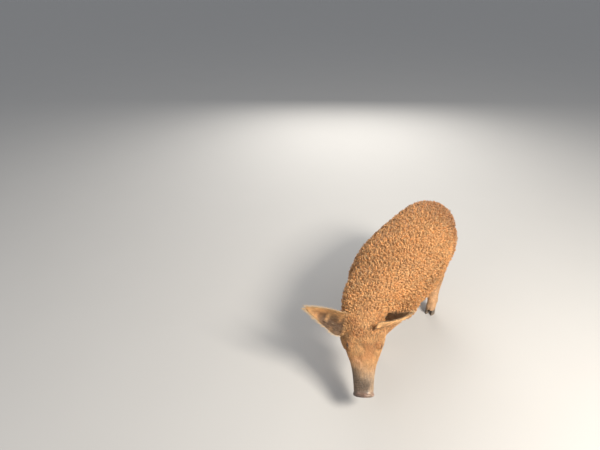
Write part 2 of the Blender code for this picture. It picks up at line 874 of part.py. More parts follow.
def partFlesh(bodyFlesh, headFlesh, pig, shaping):
    # Head from neck, then legs and neck from the torso, each with a thin cut
    boolean(bodyFlesh, "DIFFERENCE", [headRoom(gap / 2, shaping)])
    boolean(headFlesh, "INTERSECT", [headRoom(-gap / 2, shaping)])
    cuts = []
    for name, (footLeft, footForward) in footPlaces.items():
        topLeft, topForward = legTop(name)
        height, share = legCuts[name[:4]]
        center = bodyPoint(footLeft + (topLeft - footLeft) * share,
                           footForward + (topForward - footForward) * share, height)
        lean = -legCutTilt if name.endswith("left") else legCutTilt
        tilt = Matrix.Rotation(lean, 3, "Y")
        axes = tuple(tilt @ axis for axis in upright)
        cuts.append(box("cut", center, axes, (*legCutSize, gap), shaping))
    forward, lean = neckCut
    tilt = Matrix.Rotation(lean, 3, "X")
    axes = tuple(tilt @ axis for axis in upright)
    cuts.append(box("cut", bodyPoint(0, forward, 0.34), axes, (0.7, gap, 0.7), shaping))
    ground = Vector((0, 0, coronetHeight + gap - 0.5))
    cuts.append(box("ground", ground, upright, (3, 3, 1.0), shaping))
    boolean(bodyFlesh, "DIFFERENCE", cuts, parted=True)
    seeds = {"torso": bodyPoint(0, 0.35, 0.35), "neck": bodyPoint(0, 0.76, 0.34)}
    for name, (footLeft, footForward) in footPlaces.items():
        seeds["leg_" + name] = bodyPoint(footLeft, footForward, 0.10)
    nodes = nameIslands(bodyFlesh, seeds, pig)
    headFlesh.name = "head"
    nodes["head"] = headFlesh
    return nodes


def makeEyes(nodes, pig, shaping):
    # Eyes in sockets, with a thin ball of lid round each, and the cuts of mouth and nostrils
    head = nodes["head"]
    surface = surfaceTree(head)
    _, _, up = headFrame()
    lids = []
    sockets = []
    for side, sideName in ((1, "left"), (-1, "right")):
        center, aim = eyePlace(side, surface)
        across = up.cross(aim).normalized()
        eyeAxes = (across, aim.cross(across), aim)
        ellipsoid("eye_" + sideName, center, eyeAxes, (eyeRadius,) * 3, pig, 12, 8)
        lidRadius = eyeRadius + gap + lidThickness
        lids.append(ellipsoid("lids", center, eyeAxes, (lidRadius,) * 3, shaping, 16, 10))
        room = (eyeRadius + gap,) * 3
        sockets.append(ellipsoid("socket", center, eyeAxes, room, shaping, 12, 8))
        sockets.append(ellipsoid("opening", center + aim * eyeRadius, eyeAxes,
                                 (*eyeOpening, eyeOpeningDepth), shaping, 12, 8))
    boolean(head, "UNION", lids)
    boolean(head, "DIFFERENCE", sockets + mouthCutters(shaping))


def makeFeet(nodes, pig, shaping):
    for name, (footLeft, footForward) in footPlaces.items():
        side = 1 if name.endswith("left") else -1
        turn = Matrix.Rotation(side * toeTurn, 3, "Z")
        center = bodyPoint(footLeft, footForward, 0.0)
        for part, inner in (("outer", side), ("inner", -side)):
            shift = turn @ Vector((inner * (clawSize[1] + cleft) / 2, clawShift, 0))
            clawPiece(f"claw_{name}_{part}", center + shift, turn, inner, pig)
            away = Vector((inner * smallClaw["apart"], smallClaw["behind"], smallClaw["height"]))
            small = smallClawPiece(f"dewclaw_{name}_{part}", center + turn @ away, turn, pig)
            boolean(nodes["leg_" + name], "DIFFERENCE", [grownCopy(small, gap, shaping)])


def main():
    clearScene()
    shaping = bpy.data.collections.new("shaping")
    pig = bpy.data.collections.new("mangalica_pig")
    bpy.context.scene.collection.children.link(shaping)
    bpy.context.scene.collection.children.link(pig)
    bodyFlesh, headFlesh = makeFlesh(pig, shaping)
    makeCoat(bodyFlesh, headFlesh, shaping)
    nodes = partFlesh(bodyFlesh, headFlesh, pig, shaping)
    makeEyes(nodes, pig, shaping)
    for name in earShapes:
        ear = earPiece(name, pig)
        boolean(nodes["head"], "DIFFERENCE", [grownCopy(ear, gap, shaping)])
        boolean(nodes["neck"], "DIFFERENCE", [grownCopy(ear, gap, shaping)])
    tail = tailPiece(pig)
    boolean(nodes["torso"], "DIFFERENCE", [grownCopy(tail, gap, shaping)])
    makeFeet(nodes, pig, shaping)
    finish(pig, shaping)


main()
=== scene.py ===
# A young red mangalica pig, standing with its head lowered to feed.
# One skin, a coat of small curled locks, and eyes and claws of their own.
import json
import math

import bmesh
import bpy
import numpy as np
from mathutils import Matrix, Vector

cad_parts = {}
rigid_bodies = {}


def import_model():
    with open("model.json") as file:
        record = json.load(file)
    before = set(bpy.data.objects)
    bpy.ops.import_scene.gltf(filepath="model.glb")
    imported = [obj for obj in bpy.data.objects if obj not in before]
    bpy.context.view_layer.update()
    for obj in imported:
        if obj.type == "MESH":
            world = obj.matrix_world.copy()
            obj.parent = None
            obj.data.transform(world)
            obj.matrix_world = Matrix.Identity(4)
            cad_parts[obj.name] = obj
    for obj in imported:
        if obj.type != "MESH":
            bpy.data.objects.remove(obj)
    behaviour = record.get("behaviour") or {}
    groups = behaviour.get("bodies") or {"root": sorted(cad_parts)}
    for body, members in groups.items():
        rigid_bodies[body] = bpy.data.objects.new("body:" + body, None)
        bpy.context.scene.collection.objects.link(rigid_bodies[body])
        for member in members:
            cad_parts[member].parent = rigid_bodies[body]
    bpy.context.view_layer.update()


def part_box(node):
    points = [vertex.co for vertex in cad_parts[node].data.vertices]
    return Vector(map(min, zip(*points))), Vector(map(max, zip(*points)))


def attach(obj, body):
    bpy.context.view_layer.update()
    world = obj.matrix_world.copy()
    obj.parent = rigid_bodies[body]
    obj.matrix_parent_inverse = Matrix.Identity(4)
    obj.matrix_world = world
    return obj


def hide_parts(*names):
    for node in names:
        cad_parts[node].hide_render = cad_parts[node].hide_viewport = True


for obj in list(bpy.data.objects):
    bpy.data.objects.remove(obj, do_unlink=True)
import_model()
print("frame loaded")

# Body: the same sizes as the solids, in metres
body = {
    "rearY": 0.50,
    "shoulderSway": -0.018,
    # forward of the rear end, half width, back, belly, widest level
    "trunk": [
        (0.000, 0.030, 0.425, 0.355, 0.390),
        (0.022, 0.078, 0.465, 0.300, 0.380),
        (0.070, 0.120, 0.497, 0.240, 0.365),
        (0.150, 0.146, 0.517, 0.200, 0.350),
        (0.260, 0.165, 0.521, 0.178, 0.335),
        (0.370, 0.176, 0.515, 0.165, 0.322),
        (0.470, 0.177, 0.506, 0.163, 0.318),
        (0.560, 0.167, 0.493, 0.180, 0.324),
        (0.640, 0.143, 0.468, 0.212, 0.332),
        (0.700, 0.108, 0.432, 0.244, 0.335),
    ],
    # side offset, forward, height, then three radii
    "haunch": (0.088, 0.165, 0.325, 0.070, 0.120, 0.135),
    "shoulder": (0.092, 0.590, 0.305, 0.072, 0.090, 0.130),
}

head = {
    "poll": (-0.002, 0.838, 0.342),
    "yaw": math.radians(31),
    "pitch": math.radians(50),
    # distance from the poll, half width, dorsal reach, ventral reach
    "skull": [
        (-0.060, 0.082, 0.060, 0.085),
        (-0.020, 0.083, 0.068, 0.098),
        (0.030, 0.084, 0.068, 0.102),
        (0.080, 0.084, 0.062, 0.098),
        (0.125, 0.078, 0.051, 0.090),
        (0.165, 0.065, 0.042, 0.077),
        (0.205, 0.051, 0.037, 0.062),
        (0.250, 0.043, 0.034, 0.048),
        (0.290, 0.040, 0.033, 0.038),
        (0.315, 0.038, 0.033, 0.033),
    ],
    # distance from the poll, half width, level, reach
    "jaw": [
        (0.060, 0.052, -0.050, 0.060),
        (0.130, 0.046, -0.060, 0.046),
        (0.200, 0.035, -0.053, 0.029),
        (0.250, 0.029, -0.045, 0.019),
        (0.284, 0.024, -0.041, 0.014),
        (0.299, 0.012, -0.038, 0.008),
    ],
    "jowl": (0.085, 0.050, -0.040, 0.078, 0.042, 0.054),
    "brow": (0.112, 0.052, 0.034, 0.028, 0.016, 0.014),
    "disc": (0.0420, 0.0385, 0.0140),
    "discFrom": 0.307,
    "nostril": (0.0155, 0.0020, 0.0074, 0.0094, 0.0130),  # side offset, level, half width, half height, depth
    "nostrilTurn": 0.30,
    "mouthSpan": (0.176, 0.3015),
    "mouthLevels": (-0.0290, -0.0380, -0.0345),
}


def smoothStep(low, high, x):
    t = np.clip((np.asarray(x) - low) / (high - low), 0.0, 1.0)
    return t * t * (3 - 2 * t)


def swayAt(forward):
    return body["shoulderSway"] * float(smoothStep(0.22, 0.60, forward))


def headFrame():
    yaw, pitch = head["yaw"], head["pitch"]
    along = Vector((math.sin(yaw) * math.cos(pitch), -math.cos(yaw) * math.cos(pitch),
                    -math.sin(pitch)))
    left = Vector((math.cos(yaw), math.sin(yaw), 0.0))
    return along, left, along.cross(left)


headAlong, headLeft, headUp = headFrame()
rowShift = Vector((0.0, 0.0, 0.0))


def bodyPoint(left, forward, height):
    return Vector((left, body["rearY"] - forward, height)) + rowShift


def headPoint(along, left, up):
    return bodyPoint(*head["poll"]) + headAlong * along + headLeft * left + headUp * up


def headDirection(along, left, up):
    return (headAlong * along + headLeft * left + headUp * up).normalized()


def smoothBetween(stations, perSpan):  # Catmull-Rom through the stations, column by column
    rows = np.array(stations, float)
    padded = np.vstack([rows[:1], rows, rows[-1:]])
    result = []
    for i in range(len(rows) - 1):
        a, b, c, d = padded[i:i + 4]
        for step in range(perSpan):
            t = step / perSpan
            result.append(0.5 * (2 * b + (c - a) * t + (2 * a - 5 * b + 4 * c - d) * t * t
                                 + (3 * b - a - 3 * c + d) * t ** 3))
    result.append(rows[-1])
    return result


def ringPoints(center, side, up, half, upReach, downReach, count=24, fullness=0.92):
    points = []
    for i in range(count):
        angle = 2 * math.pi * i / count
        c, s = math.cos(angle), math.sin(angle)
        x = half * math.copysign(abs(c) ** fullness, c)
        z = (upReach if s >= 0 else downReach) * math.copysign(abs(s) ** fullness, s)
        points.append(center + side * x + up * z)
    return points


def loft(bm, rings):  # a disc, extruded from ring to ring
    made = bmesh.ops.create_circle(bm, cap_ends=True, segments=len(rings[0]), radius=1.0)
    cap = made["verts"][0].link_faces[0]
    for i, points in enumerate(rings):
        if i > 0:
            out = bmesh.ops.extrude_face_region(bm, geom=[cap])
            cap = next(g for g in out["geom"] if isinstance(g, bmesh.types.BMFace))
        for vert, point in zip(cap.verts, points):
            vert.co = point


def blob(bm, center, axes, radii):
    made = bmesh.ops.create_uvsphere(bm, u_segments=20, v_segments=12, radius=1.0)
    turn = Matrix([axis * size for axis, size in zip(axes, radii)]).transposed()
    for vert in made["verts"]:
        vert.co = center + turn @ vert.co


def makeObject(name, bm):
    bmesh.ops.recalc_face_normals(bm, faces=bm.faces)
    mesh = bpy.data.meshes.new(name)
    bm.to_mesh(mesh)
    bm.free()
    mesh.shade_smooth()
    obj = bpy.data.objects.new(name, mesh)
    bpy.context.scene.collection.objects.link(obj)
    return obj


def applyModifiers(obj):
    depsgraph = bpy.context.evaluated_depsgraph_get()
    mesh = bpy.data.meshes.new_from_object(obj.evaluated_get(depsgraph))
    obj.modifiers.clear()
    old = obj.data
    obj.data = mesh
    bpy.data.meshes.remove(old)


def readPoints(mesh):
    points = np.empty(len(mesh.vertices) * 3, np.float32)
    mesh.vertices.foreach_get("co", points)
    normals = np.empty(len(mesh.vertices) * 3, np.float32)
    mesh.vertex_normals.foreach_get("vector", normals)
    return points.reshape(-1, 3).astype(float), normals.reshape(-1, 3).astype(float)


def writePoints(mesh, points):
    mesh.vertices.foreach_set("co", points.astype(np.float32).ravel())
    mesh.update()


# Feet: claws and the small claws behind, each on its own
feet = {
    "places": {
        "fore_left": (-0.004, 0.675),
        "fore_right": (-0.105, 0.625),
        "hind_left": (0.130, 0.292),
        "hind_right": (-0.098, 0.115),
    },
    "clawSize": (0.046, 0.0225, 0.0300),
    "cleft": 0.0030,
    "clawShift": -0.002,
    "toeTurn": math.radians(4),
    "small": {"height": 0.058, "apart": 0.0165, "behind": 0.016, "length": 0.024, "width": 0.0125},
}


def clawRings(center, turn, side, levels, count):
    # flat sole, sloping front wall, straighter side at the cleft
    length, width, height = feet["clawSize"]
    rings = []
    for level, scale, shift in levels:
        points = []
        for i in range(count):
            angle = 2 * math.pi * i / count
            x, y = math.cos(angle), math.sin(angle)
            pointed = 0.55 * max(0.0, -y) * abs(y)
            across = width / 2 * x * (1.0 - pointed) * (0.85 if x * side < 0 else 1.0)
            spot = Vector((across * scale, length / 2 * y * scale + shift, level * height))
            points.append(center + turn @ spot)
        rings.append(points)
    return rings


def footParts():
    for name, (left, forward) in feet["places"].items():
        side = 1 if name.endswith("left") else -1
        turn = Matrix.Rotation(side * feet["toeTurn"], 3, "Z")
        center = bodyPoint(left, forward, 0.0)
        for part, inner in (("outer", side), ("inner", -side)):
            apart = (feet["clawSize"][1] + feet["cleft"]) / 2
            spot = center + turn @ Vector((inner * apart, feet["clawShift"], 0.0))
            yield name, part, inner, turn, center, spot


def measureShift():  # the solids were centred as a whole: read how far from one claw
    name, part, inner, turn, _, spot = next(footParts())
    rings = clawRings(spot, turn, inner, ((0.0, 1.0, 0.0), (0.13, 1.02, 0.001), (1.0, 0.84, 0.007)), 12)
    low = [min(p[axis] for ring in rings for p in ring) for axis in range(2)]
    packed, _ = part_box(f"claw_{name}_{part}")
    return Vector((packed.x - low[0], packed.y - low[1], 0.0))


rowShift = measureShift()
print("row shift", [round(v, 4) for v in rowShift])

# Legs: joints as height, share of the way from foot to top, forward shift, half width, half depth
legs = {
    "foreTop": (0.092, 0.600),
    "hindTop": (0.092, 0.195),
    "fore": [
        (0.026, 0.00, 0.000, 0.0265, 0.0290),
        (0.046, 0.06, -0.004, 0.0270, 0.0275),
        (0.070, 0.18, -0.006, 0.0245, 0.0250),
        (0.105, 0.36, 0.000, 0.0265, 0.0275),
        (0.130, 0.50, 0.003, 0.0300, 0.0315),
        (0.165, 0.70, -0.004, 0.0330, 0.0380),
        (0.205, 0.90, -0.008, 0.0420, 0.0520),
        (0.250, 1.00, -0.004, 0.0500, 0.0620),
        (0.310, 1.00, 0.004, 0.0480, 0.0620),
    ],
    "hind": [
        (0.026, 0.00, 0.000, 0.0265, 0.0290),
        (0.046, 0.03, -0.006, 0.0270, 0.0280),
        (0.072, 0.10, -0.016, 0.0240, 0.0260),
        (0.110, 0.22, -0.030, 0.0250, 0.0290),
        (0.142, 0.36, -0.040, 0.0280, 0.0340),
        (0.175, 0.56, -0.024, 0.0340, 0.0430),
        (0.215, 0.80, 0.008, 0.0440, 0.0600),
        (0.265, 1.00, 0.014, 0.0540, 0.0780),
        (0.330, 1.00, 0.000, 0.0560, 0.0850),
    ],
}


def legTop(name):
    side = 1 if name.endswith("left") else -1
    left, forward = legs["foreTop"] if name.startswith("fore") else legs["hindTop"]
    return left * side + swayAt(forward), forward


def legLine(name, heights):  # middle line of a leg at the given heights
    stations = np.array(legs[name[:4]])
    footLeft, footForward = feet["places"][name]
    topLeft, topForward = legTop(name)
    share = np.interp(heights, stations[:, 0], stations[:, 1])
    shift = np.interp(heights, stations[:, 0], stations[:, 2])
    left = footLeft + (topLeft - footLeft) * share + rowShift.x
    forward = footForward + (topForward - footForward) * share + shift
    return np.stack([left, body["rearY"] - forward + rowShift.y, heights], axis=-1)


# Ears: root and tip in head coordinates, the way the cup faces, width and bend, the side of the back edge,
# where painted shade darkens the cup across and along it, and how strongly painted light brightens its outer wall
ears = {
    "right": {"root": (0.056, -0.060, 0.036), "tip": (-0.014, -0.234, 0.050),
              "faces": (0.30, 0.05, 1.0), "halfWidth": 0.052, "arc": 68, "back": -1,
              "dark": (-0.75, -0.1, 1.0), "wall": 0.0},
    "left": {"root": (0.046, 0.054, 0.036), "tip": (-0.002, 0.166, 0.132),
             "faces": (-0.874, -0.473, 0.114), "halfWidth": 0.053, "arc": 72, "back": -1,
             "dark": (-0.10, 0.35, 1.2), "wall": 1.0},
    "thickness": (0.0034, 0.0046),
    "rootSpan": 0.30,  # the edges sink into the head over this share of the ear
    "bow": 0.010,      # how far the middle of the blade bows back
    "uncurl": 0.55,    # share of the bend that is gone at the tip
}


def earFrame(which):
    shape = ears[which]
    root, tip = headPoint(*shape["root"]), headPoint(*shape["tip"])
    axis = (tip - root).normalized()
    faces = headDirection(*shape["faces"])
    faces = (faces - axis * faces.dot(axis)).normalized()
    return root, axis, (tip - root).length, faces, axis.cross(faces)


def earHalf(which, u):
    u = np.clip(u, 0.0, 1.0)
    half = ears[which]["halfWidth"] * (0.80 + 0.20 * np.sin(math.pi * np.minimum(0.5, u * 2.2)))
    return half * ((1.0 - u ** 1.35) ** 0.86 + 0.045)


def earArc(which, u):
    return math.radians(ears[which]["arc"]) * (1.0 - ears["uncurl"] * u)


def earPoint(which, u, v, frameOf):
    root, axis, length, faces, side = frameOf
    arc = earArc(which, u)
    angle = v * arc
    radius = earHalf(which, u) / math.sin(arc)
    line = root + axis * length * u - faces * ears["bow"] * math.sin(math.pi * max(0.0, u))
    normal = faces * math.cos(angle) - side * math.sin(angle)
    rise = radius * (1 - math.cos(angle)) * (1.0 - float(smoothStep(ears["rootSpan"], 0.0, u)))
    return line + side * radius * math.sin(angle) + faces * rise, normal


def earBlade(bm, which):  # a bent blade, rings go round both faces
    frameOf = earFrame(which)
    rows, columns = 26, 16
    rings = []
    for i in range(rows + 1):
        u = 1.10 * i / rows - 0.10
        front, back = [], []
        for j in range(columns + 1):
            v = 2 * j / columns - 1
            point, normal = earPoint(which, u, v, frameOf)
            thick = ears["thickness"][0] * (1 - v * v) * (1 - 0.5 * max(0.0, u)) + ears["thickness"][1]
            ridge = 0.0009 * math.sin(v * 13.0) * (1 - v * v) * (1 - u)  # ribs inside the cup
            front.append(point + normal * (thick / 2 + ridge))
            back.append(point - normal * thick / 2)
        rings.append(front + back[::-1])
    loft(bm, rings)


tail = {"root": (0.012, 0.425), "length": 0.150, "radii": (0.0150, 0.0060), "sunk": 0.012}


def tailLine(steps=14):
    point = bodyPoint(0.0, tail["root"][0] + tail["sunk"], tail["root"][1])
    line = []
    for i in range(steps + 1):
        t = i / steps
        down = min(1.0, t * 2.6)
        swing = math.sin(t * 5.2) * 0.75 * t
        heading = Vector((swing, 1.0 - down * 1.02, -down)).normalized()
        line.append((t, point.copy(), heading))
        point = point + heading * tail["length"] / steps
    return line


skinLook = {
    "voxel": 0.0021,
    "smooth": 7,
    "joinSmooth": 36,
    "coatInset": 0.0035,  # how far the skin lies inside the core of the coat
    "faceInset": 0.0012,
    "thinTo": 105000,     # triangles left after thinning
}


def neckRings():
    start = bodyPoint(swayAt(0.6), 0.600, 0.345)
    end = headPoint(0.0, 0.0, -0.010)
    reach = (end - start).length
    startPull = start + Vector((0, -1, 0)) * reach * 0.45
    endPull = end - headAlong * reach * 0.30
    rings = []
    steps = 14
    for i in range(steps + 1):
        t = i / steps
        k = 1 - t
        center = start * k ** 3 + startPull * 3 * k * k * t + endPull * 3 * k * t * t + end * t ** 3
        tangent = ((startPull - start) * k * k + (endPull - startPull) * 2 * k * t
                   + (end - endPull) * t * t).normalized()
        side = Vector((1, 0, 0)).lerp(headLeft, t)
        side = (side - tangent * side.dot(tangent)).normalized()
        half = 0.138 * k + 0.080 * t - 0.004 * math.sin(math.pi * t)
        down = 0.124 * k + 0.094 * t
        rings.append(ringPoints(center, side, tangent.cross(side), half,
                                0.124 * k + 0.074 * t, down, 28))
    return rings


def makeFlesh():
    bm = bmesh.new()
    upright = (Vector((1, 0, 0)), Vector((0, 1, 0)), Vector((0, 0, 1)))
    rings = []
    for forward, half, top, bottom, level in smoothBetween(body["trunk"], 4):
        rings.append(ringPoints(bodyPoint(swayAt(forward), forward, level), upright[0], upright[2],
                                half, top - level, level - bottom, 32))
    loft(bm, rings)
    for left, forward, height, rx, ry, rz in (body["haunch"], body["shoulder"]):
        for side in (-1, 1):
            blob(bm, bodyPoint(left * side + swayAt(forward), forward, height), upright, (rx, ry, rz))
    loft(bm, neckRings())
    loft(bm, [ringPoints(headPoint(s, 0, 0), headLeft, headUp, half, dorsal, ventral, 32, 0.88)
              for s, half, dorsal, ventral in smoothBetween(head["skull"], 4)])
    loft(bm, [ringPoints(headPoint(s, 0, level), headLeft, headUp, half, reach, reach, 20)
              for s, half, level, reach in smoothBetween(head["jaw"], 3)])
    wide, high, thick = head["disc"]
    profile = ((0.0, 0.86), (0.25, 0.98), (0.6, 1.0), (0.9, 0.96), (1.0, 0.88))
    loft(bm, [ringPoints(headPoint(head["discFrom"] + thick * share, 0, 0.001), headLeft, headUp,
                         wide * scale, high * scale, high * scale * 0.95, 32, 0.9)
              for share, scale in profile])
    for side in (-1, 1):
        for s, out, up, rs, ro, ru in (head["jowl"], head["brow"]):
            blob(bm, headPoint(s, out * side, up), (headAlong, headLeft, headUp), (rs, ro, ru))
    for name in feet["places"]:
        footLeft, footForward = feet["places"][name]
        topLeft, topForward = legTop(name)
        rings = []
        for height, share, shift, half, deep in smoothBetween(legs[name[:4]], 3):
            center = bodyPoint(footLeft + (topLeft - footLeft) * share,
                               footForward + (topForward - footForward) * share + shift, height)
            rings.append(ringPoints(center, upright[0], upright[1], half, deep, deep, 20))
        loft(bm, rings)
    for which in ("right", "left"):
        earBlade(bm, which)
    first, last = tail["radii"]
    rings = []
    for t, point, heading in tailLine():
        radius = (first * (1 - t) + last * t) * (0.6 if t > 0.93 else 1.0)
        side = (upright[0] - heading * upright[0].dot(heading)).normalized()
        rings.append(ringPoints(point, side, heading.cross(side), radius, radius, radius, 12, 1.0))
    loft(bm, rings)
    return makeObject("skin", bm)


def inFrame(points, origin, *axes):  # how far the points lie along each axis
    away = points - np.array(origin)
    return [away @ np.array(axis) for axis in axes]


def headLocal(points):
    return np.stack(inFrame(points, headPoint(0, 0, 0), headAlong, headLeft, headUp), -1)


def onHeadAt(points):  # 1 on the head, 0 on the body
    local = headLocal(points)
    around = np.hypot(local[:, 1], local[:, 2])
    return smoothStep(-0.035, 0.025, local[:, 0]) * smoothStep(0.30, 0.24, around)


def besideLeg(points, name):  # how far the points lie beside and behind the middle line of a leg
    line = legLine(name, np.clip(points[:, 2], 0.0, 0.31))
    return points[:, 0] - line[:, 0], points[:, 1] - line[:, 1]


def legAt(points):  # 1 on the lower legs, fading out under the trunk
    nearest = np.min([np.hypot(*besideLeg(points, name)) for name in feet["places"]], axis=0)
    return smoothStep(0.205, 0.115, points[:, 2]) * smoothStep(0.085, 0.062, nearest)


def earAt(points, which):  # share along the ear, way and share across it, and 1 where a point is on it
    root, axis, length, faces, side = earFrame(which)
    u, v, w = inFrame(points, root, axis, side, faces)
    u = u / length
    along = np.clip(u, 0, 1)
    half = earHalf(which, along)
    radius = half / np.sin(earArc(which, along))
    bend = np.arcsin(np.clip(v / radius, -0.995, 0.995))
    middle = radius * (1 - np.cos(bend)) * (1.0 - smoothStep(ears["rootSpan"], 0.0, along))
    middle = middle - ears["bow"] * np.sin(math.pi * along)
    local = headLocal(points)
    clear = np.abs(local[:, 1]) - np.interp(local[:, 0], [-0.1, 0.0, 0.08, 0.13], [0.074, 0.076, 0.076, 0.070])
    clear = np.maximum(clear, local[:, 2] - 0.066)
    on = smoothStep(0.02, 0.14, u) * smoothStep(1.08, 1.03, u) * smoothStep(-0.006, 0.008, clear)
    on = on * smoothStep(0.014, 0.009, np.abs(w - middle)) * smoothStep(0.010, 0.005, np.abs(v) - half)
    return along, v, v / np.maximum(half, 0.004), on


def tailAt(points):
    rear = body["rearY"] + rowShift.y
    return smoothStep(rear - 0.004, rear + 0.008, points[:, 1]) * (np.abs(points[:, 0] - rowShift.x) < 0.035) \
        * (points[:, 2] < 0.445)


def coatAt(points):  # 1 where the curly coat is full, less on face, legs, ears and tail
    local = headLocal(points)
    onHead = onHeadAt(points)
    face = np.interp(local[:, 0], [0.0, 0.05, 0.10, 0.155, 0.22], [0.80, 0.62, 0.42, 0.24, 0.15])
    amount = 1.0 - onHead * (1.0 - face)
    amount = amount * (1.0 - 0.82 * legAt(points))
    for which in ("right", "left"):
        amount = amount * (1.0 - 0.85 * earAt(points, which)[3])
    return amount * (1.0 - 0.75 * tailAt(points))


eyes = {
    "radius": 0.0120,
    "aim": (0.16, 0.86, 0.48),
    "lid": 0.0026,
    "opening": (0.0098, 0.0052, 0.0042),  # half width, upper and lower height
    "depth": 0.0018,
    # folds of the lids: height, distance from the opening, width, the levels between which they set in, ripple
    "folds": [
        (-0.0012, 0.0052, 0.0010, -0.001, 0.002, 0.35),
        (0.0010, 0.0082, 0.0020, 0.000, 0.004, 0.0),
        (-0.0008, 0.0115, 0.0013, 0.000, 0.005, 0.35),
        (-0.0009, 0.0046, 0.0009, 0.001, -0.002, 0.35),
        (-0.0006, 0.0088, 0.0012, 0.000, -0.004, 0.0),
    ],
}


def eyeFrame(which):
    low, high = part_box("eye_" + which)
    side = 1 if which == "left" else -1
    aim = headDirection(eyes["aim"][0], eyes["aim"][1] * side, eyes["aim"][2])
    across = headUp.cross(aim).normalized()
    return (low + high) / 2, across, aim.cross(across), aim


def insideOpening(x, y):  # how far a place lies inside the opening of the lids
    wide, upper, lower = eyes["opening"]
    edge = np.where(y > 0, upper, lower) * np.clip(1 - (x / wide) ** 2, 0, None) ** 0.7
    return edge - np.abs(y) - np.clip(np.abs(x) - wide, 0, None)


def mouthLevel(s):
    low, high = head["mouthSpan"]
    t = np.clip((s - low) / (high - low), 0.0, 1.0)
    back, middle, front = head["mouthLevels"]
    return (1 - t) ** 2 * back + 2 * t * (1 - t) * middle + t * t * front


def bell(x, width):
    return np.exp(-(x / width) ** 2)


def smoothJoins(obj):  # soften where neck, trunk, legs and ear roots meet
    points, _ = readPoints(obj.data)
    local = headLocal(points)
    soft = 1.0 - smoothStep(0.00, 0.06, local[:, 0]) * onHeadAt(points)
    soft = soft * smoothStep(0.05, 0.12, points[:, 2]) * (1.0 - tailAt(points))
    for which in ("right", "left"):
        root, axis, length, _, _ = earFrame(which)
        u = (points - np.array(root)) @ np.array(axis) / length
        near = np.linalg.norm(points - np.array(root), axis=1) < 0.075
        soft = np.where(near, np.maximum(soft, smoothStep(0.26, 0.14, u)), soft)
        soft = soft * (1.0 - earAt(points, which)[3] * smoothStep(0.14, 0.24, u))
    group = obj.vertex_groups.new(name="soft")
    levels = np.round(soft * 10).astype(int)
    for level in range(1, 11):
        group.add(np.nonzero(levels == level)[0].tolist(), level / 10, "REPLACE")
    ease = obj.modifiers.new("ease", "SMOOTH")
    ease.factor = 0.6
    ease.iterations = skinLook["joinSmooth"]
    ease.vertex_group = "soft"
    applyModifiers(obj)
    obj.vertex_groups.clear()


def thinSkin(obj):  # the remeshed faces are much finer than the form needs
    thin = obj.modifiers.new("thin", "DECIMATE")
    thin.ratio = skinLook["thinTo"] / (2 * len(obj.data.polygons))
    applyModifiers(obj)


def refine(obj, wanted):  # halve the edges where fine forms come
    bm = bmesh.new()
    bm.from_mesh(obj.data)
    points = np.array([v.co[:] for v in bm.verts])
    inside = wanted(points)
    edges = [e for e in bm.edges if inside[e.verts[0].index] and inside[e.verts[1].index]]
    bmesh.ops.subdivide_edges(bm, edges=edges, cuts=1, use_grid_fill=True)
    bmesh.ops.triangulate(bm, faces=[f for f in bm.faces if len(f.verts) > 3])
    bm.to_mesh(obj.data)
    bm.free()


def nearEyes(points, radius):
    near = np.zeros(len(points), bool)
    for which in ("left", "right"):
        near |= np.linalg.norm(points - np.array(eyeFrame(which)[0]), axis=1) < radius
    return near


def nearMouth(points, reach):
    local = headLocal(points)
    low, high = head["mouthSpan"]
    inSpan = (local[:, 0] > low - 0.008) & (local[:, 0] < high + 0.004) & (onHeadAt(points) > 0.5)
    return inSpan & (np.abs(local[:, 2] - mouthLevel(local[:, 0])) < reach)


def nearSnout(points, back):
    local = headLocal(points)
    return (local[:, 0] > back) & (np.hypot(local[:, 1], local[:, 2]) < 0.06)


def insetCoat(points, normals):
    amount = coatAt(points)
    inset = skinLook["faceInset"] + (skinLook["coatInset"] - skinLook["faceInset"]) * amount
    for which in ("right", "left"):
        inset = inset * (1.0 - 0.8 * earAt(points, which)[3])
    disc = smoothStep(0.295, 0.305, headLocal(points)[:, 0]) * onHeadAt(points)
    return points - normals * (inset * (1.0 - 0.8 * disc))[:, None]


def shapeEye(points, which):  # a ball of lid, an almond opening, lid margins and creases
    x, y, z = inFrame(points, *eyeFrame(which))
    center = np.array(eyeFrame(which)[0])
    away = points - center
    r = np.linalg.norm(away, axis=1)
    lidRadius, blend = eyes["radius"] + eyes["lid"], 0.0075
    target = (r + lidRadius + np.sqrt((r - lidRadius) ** 2 + blend ** 2)) / 2 - 0.0022
    inside = insideOpening(x, y)
    target = target + 0.0009 * bell(inside + 0.0014, 0.0012)
    for height, distance, width, start, full, ripple in eyes["folds"]:
        fold = height * bell(inside + distance, width) * smoothStep(start, full, y)
        target = target + fold * (1.0 + ripple * np.sin(x * 700.0 + 1.0))
    carve = smoothStep(-0.0003, 0.0007, inside)
    target = target * (1 - carve) + (eyes["radius"] - eyes["depth"]) * carve
    target = r + (target - r) * smoothStep(0.030, 0.018, r)
    moved = center + away / np.maximum(r, 1e-6)[:, None] * target[:, None]
    near = (r < 0.030) & (z > 0.0)
    return np.where(near[:, None], moved, points)


def nostrilAt(local, side):  # below 1 inside a nostril
    out, level, wide, tall, _ = head["nostril"]
    x, y = local[:, 1] - out * side, local[:, 2] - level
    c, s = math.cos(head["nostrilTurn"]), side * math.sin(head["nostrilTurn"])
    return ((x * c + y * s) / wide) ** 2 + ((y * c - x * s) / tall) ** 2


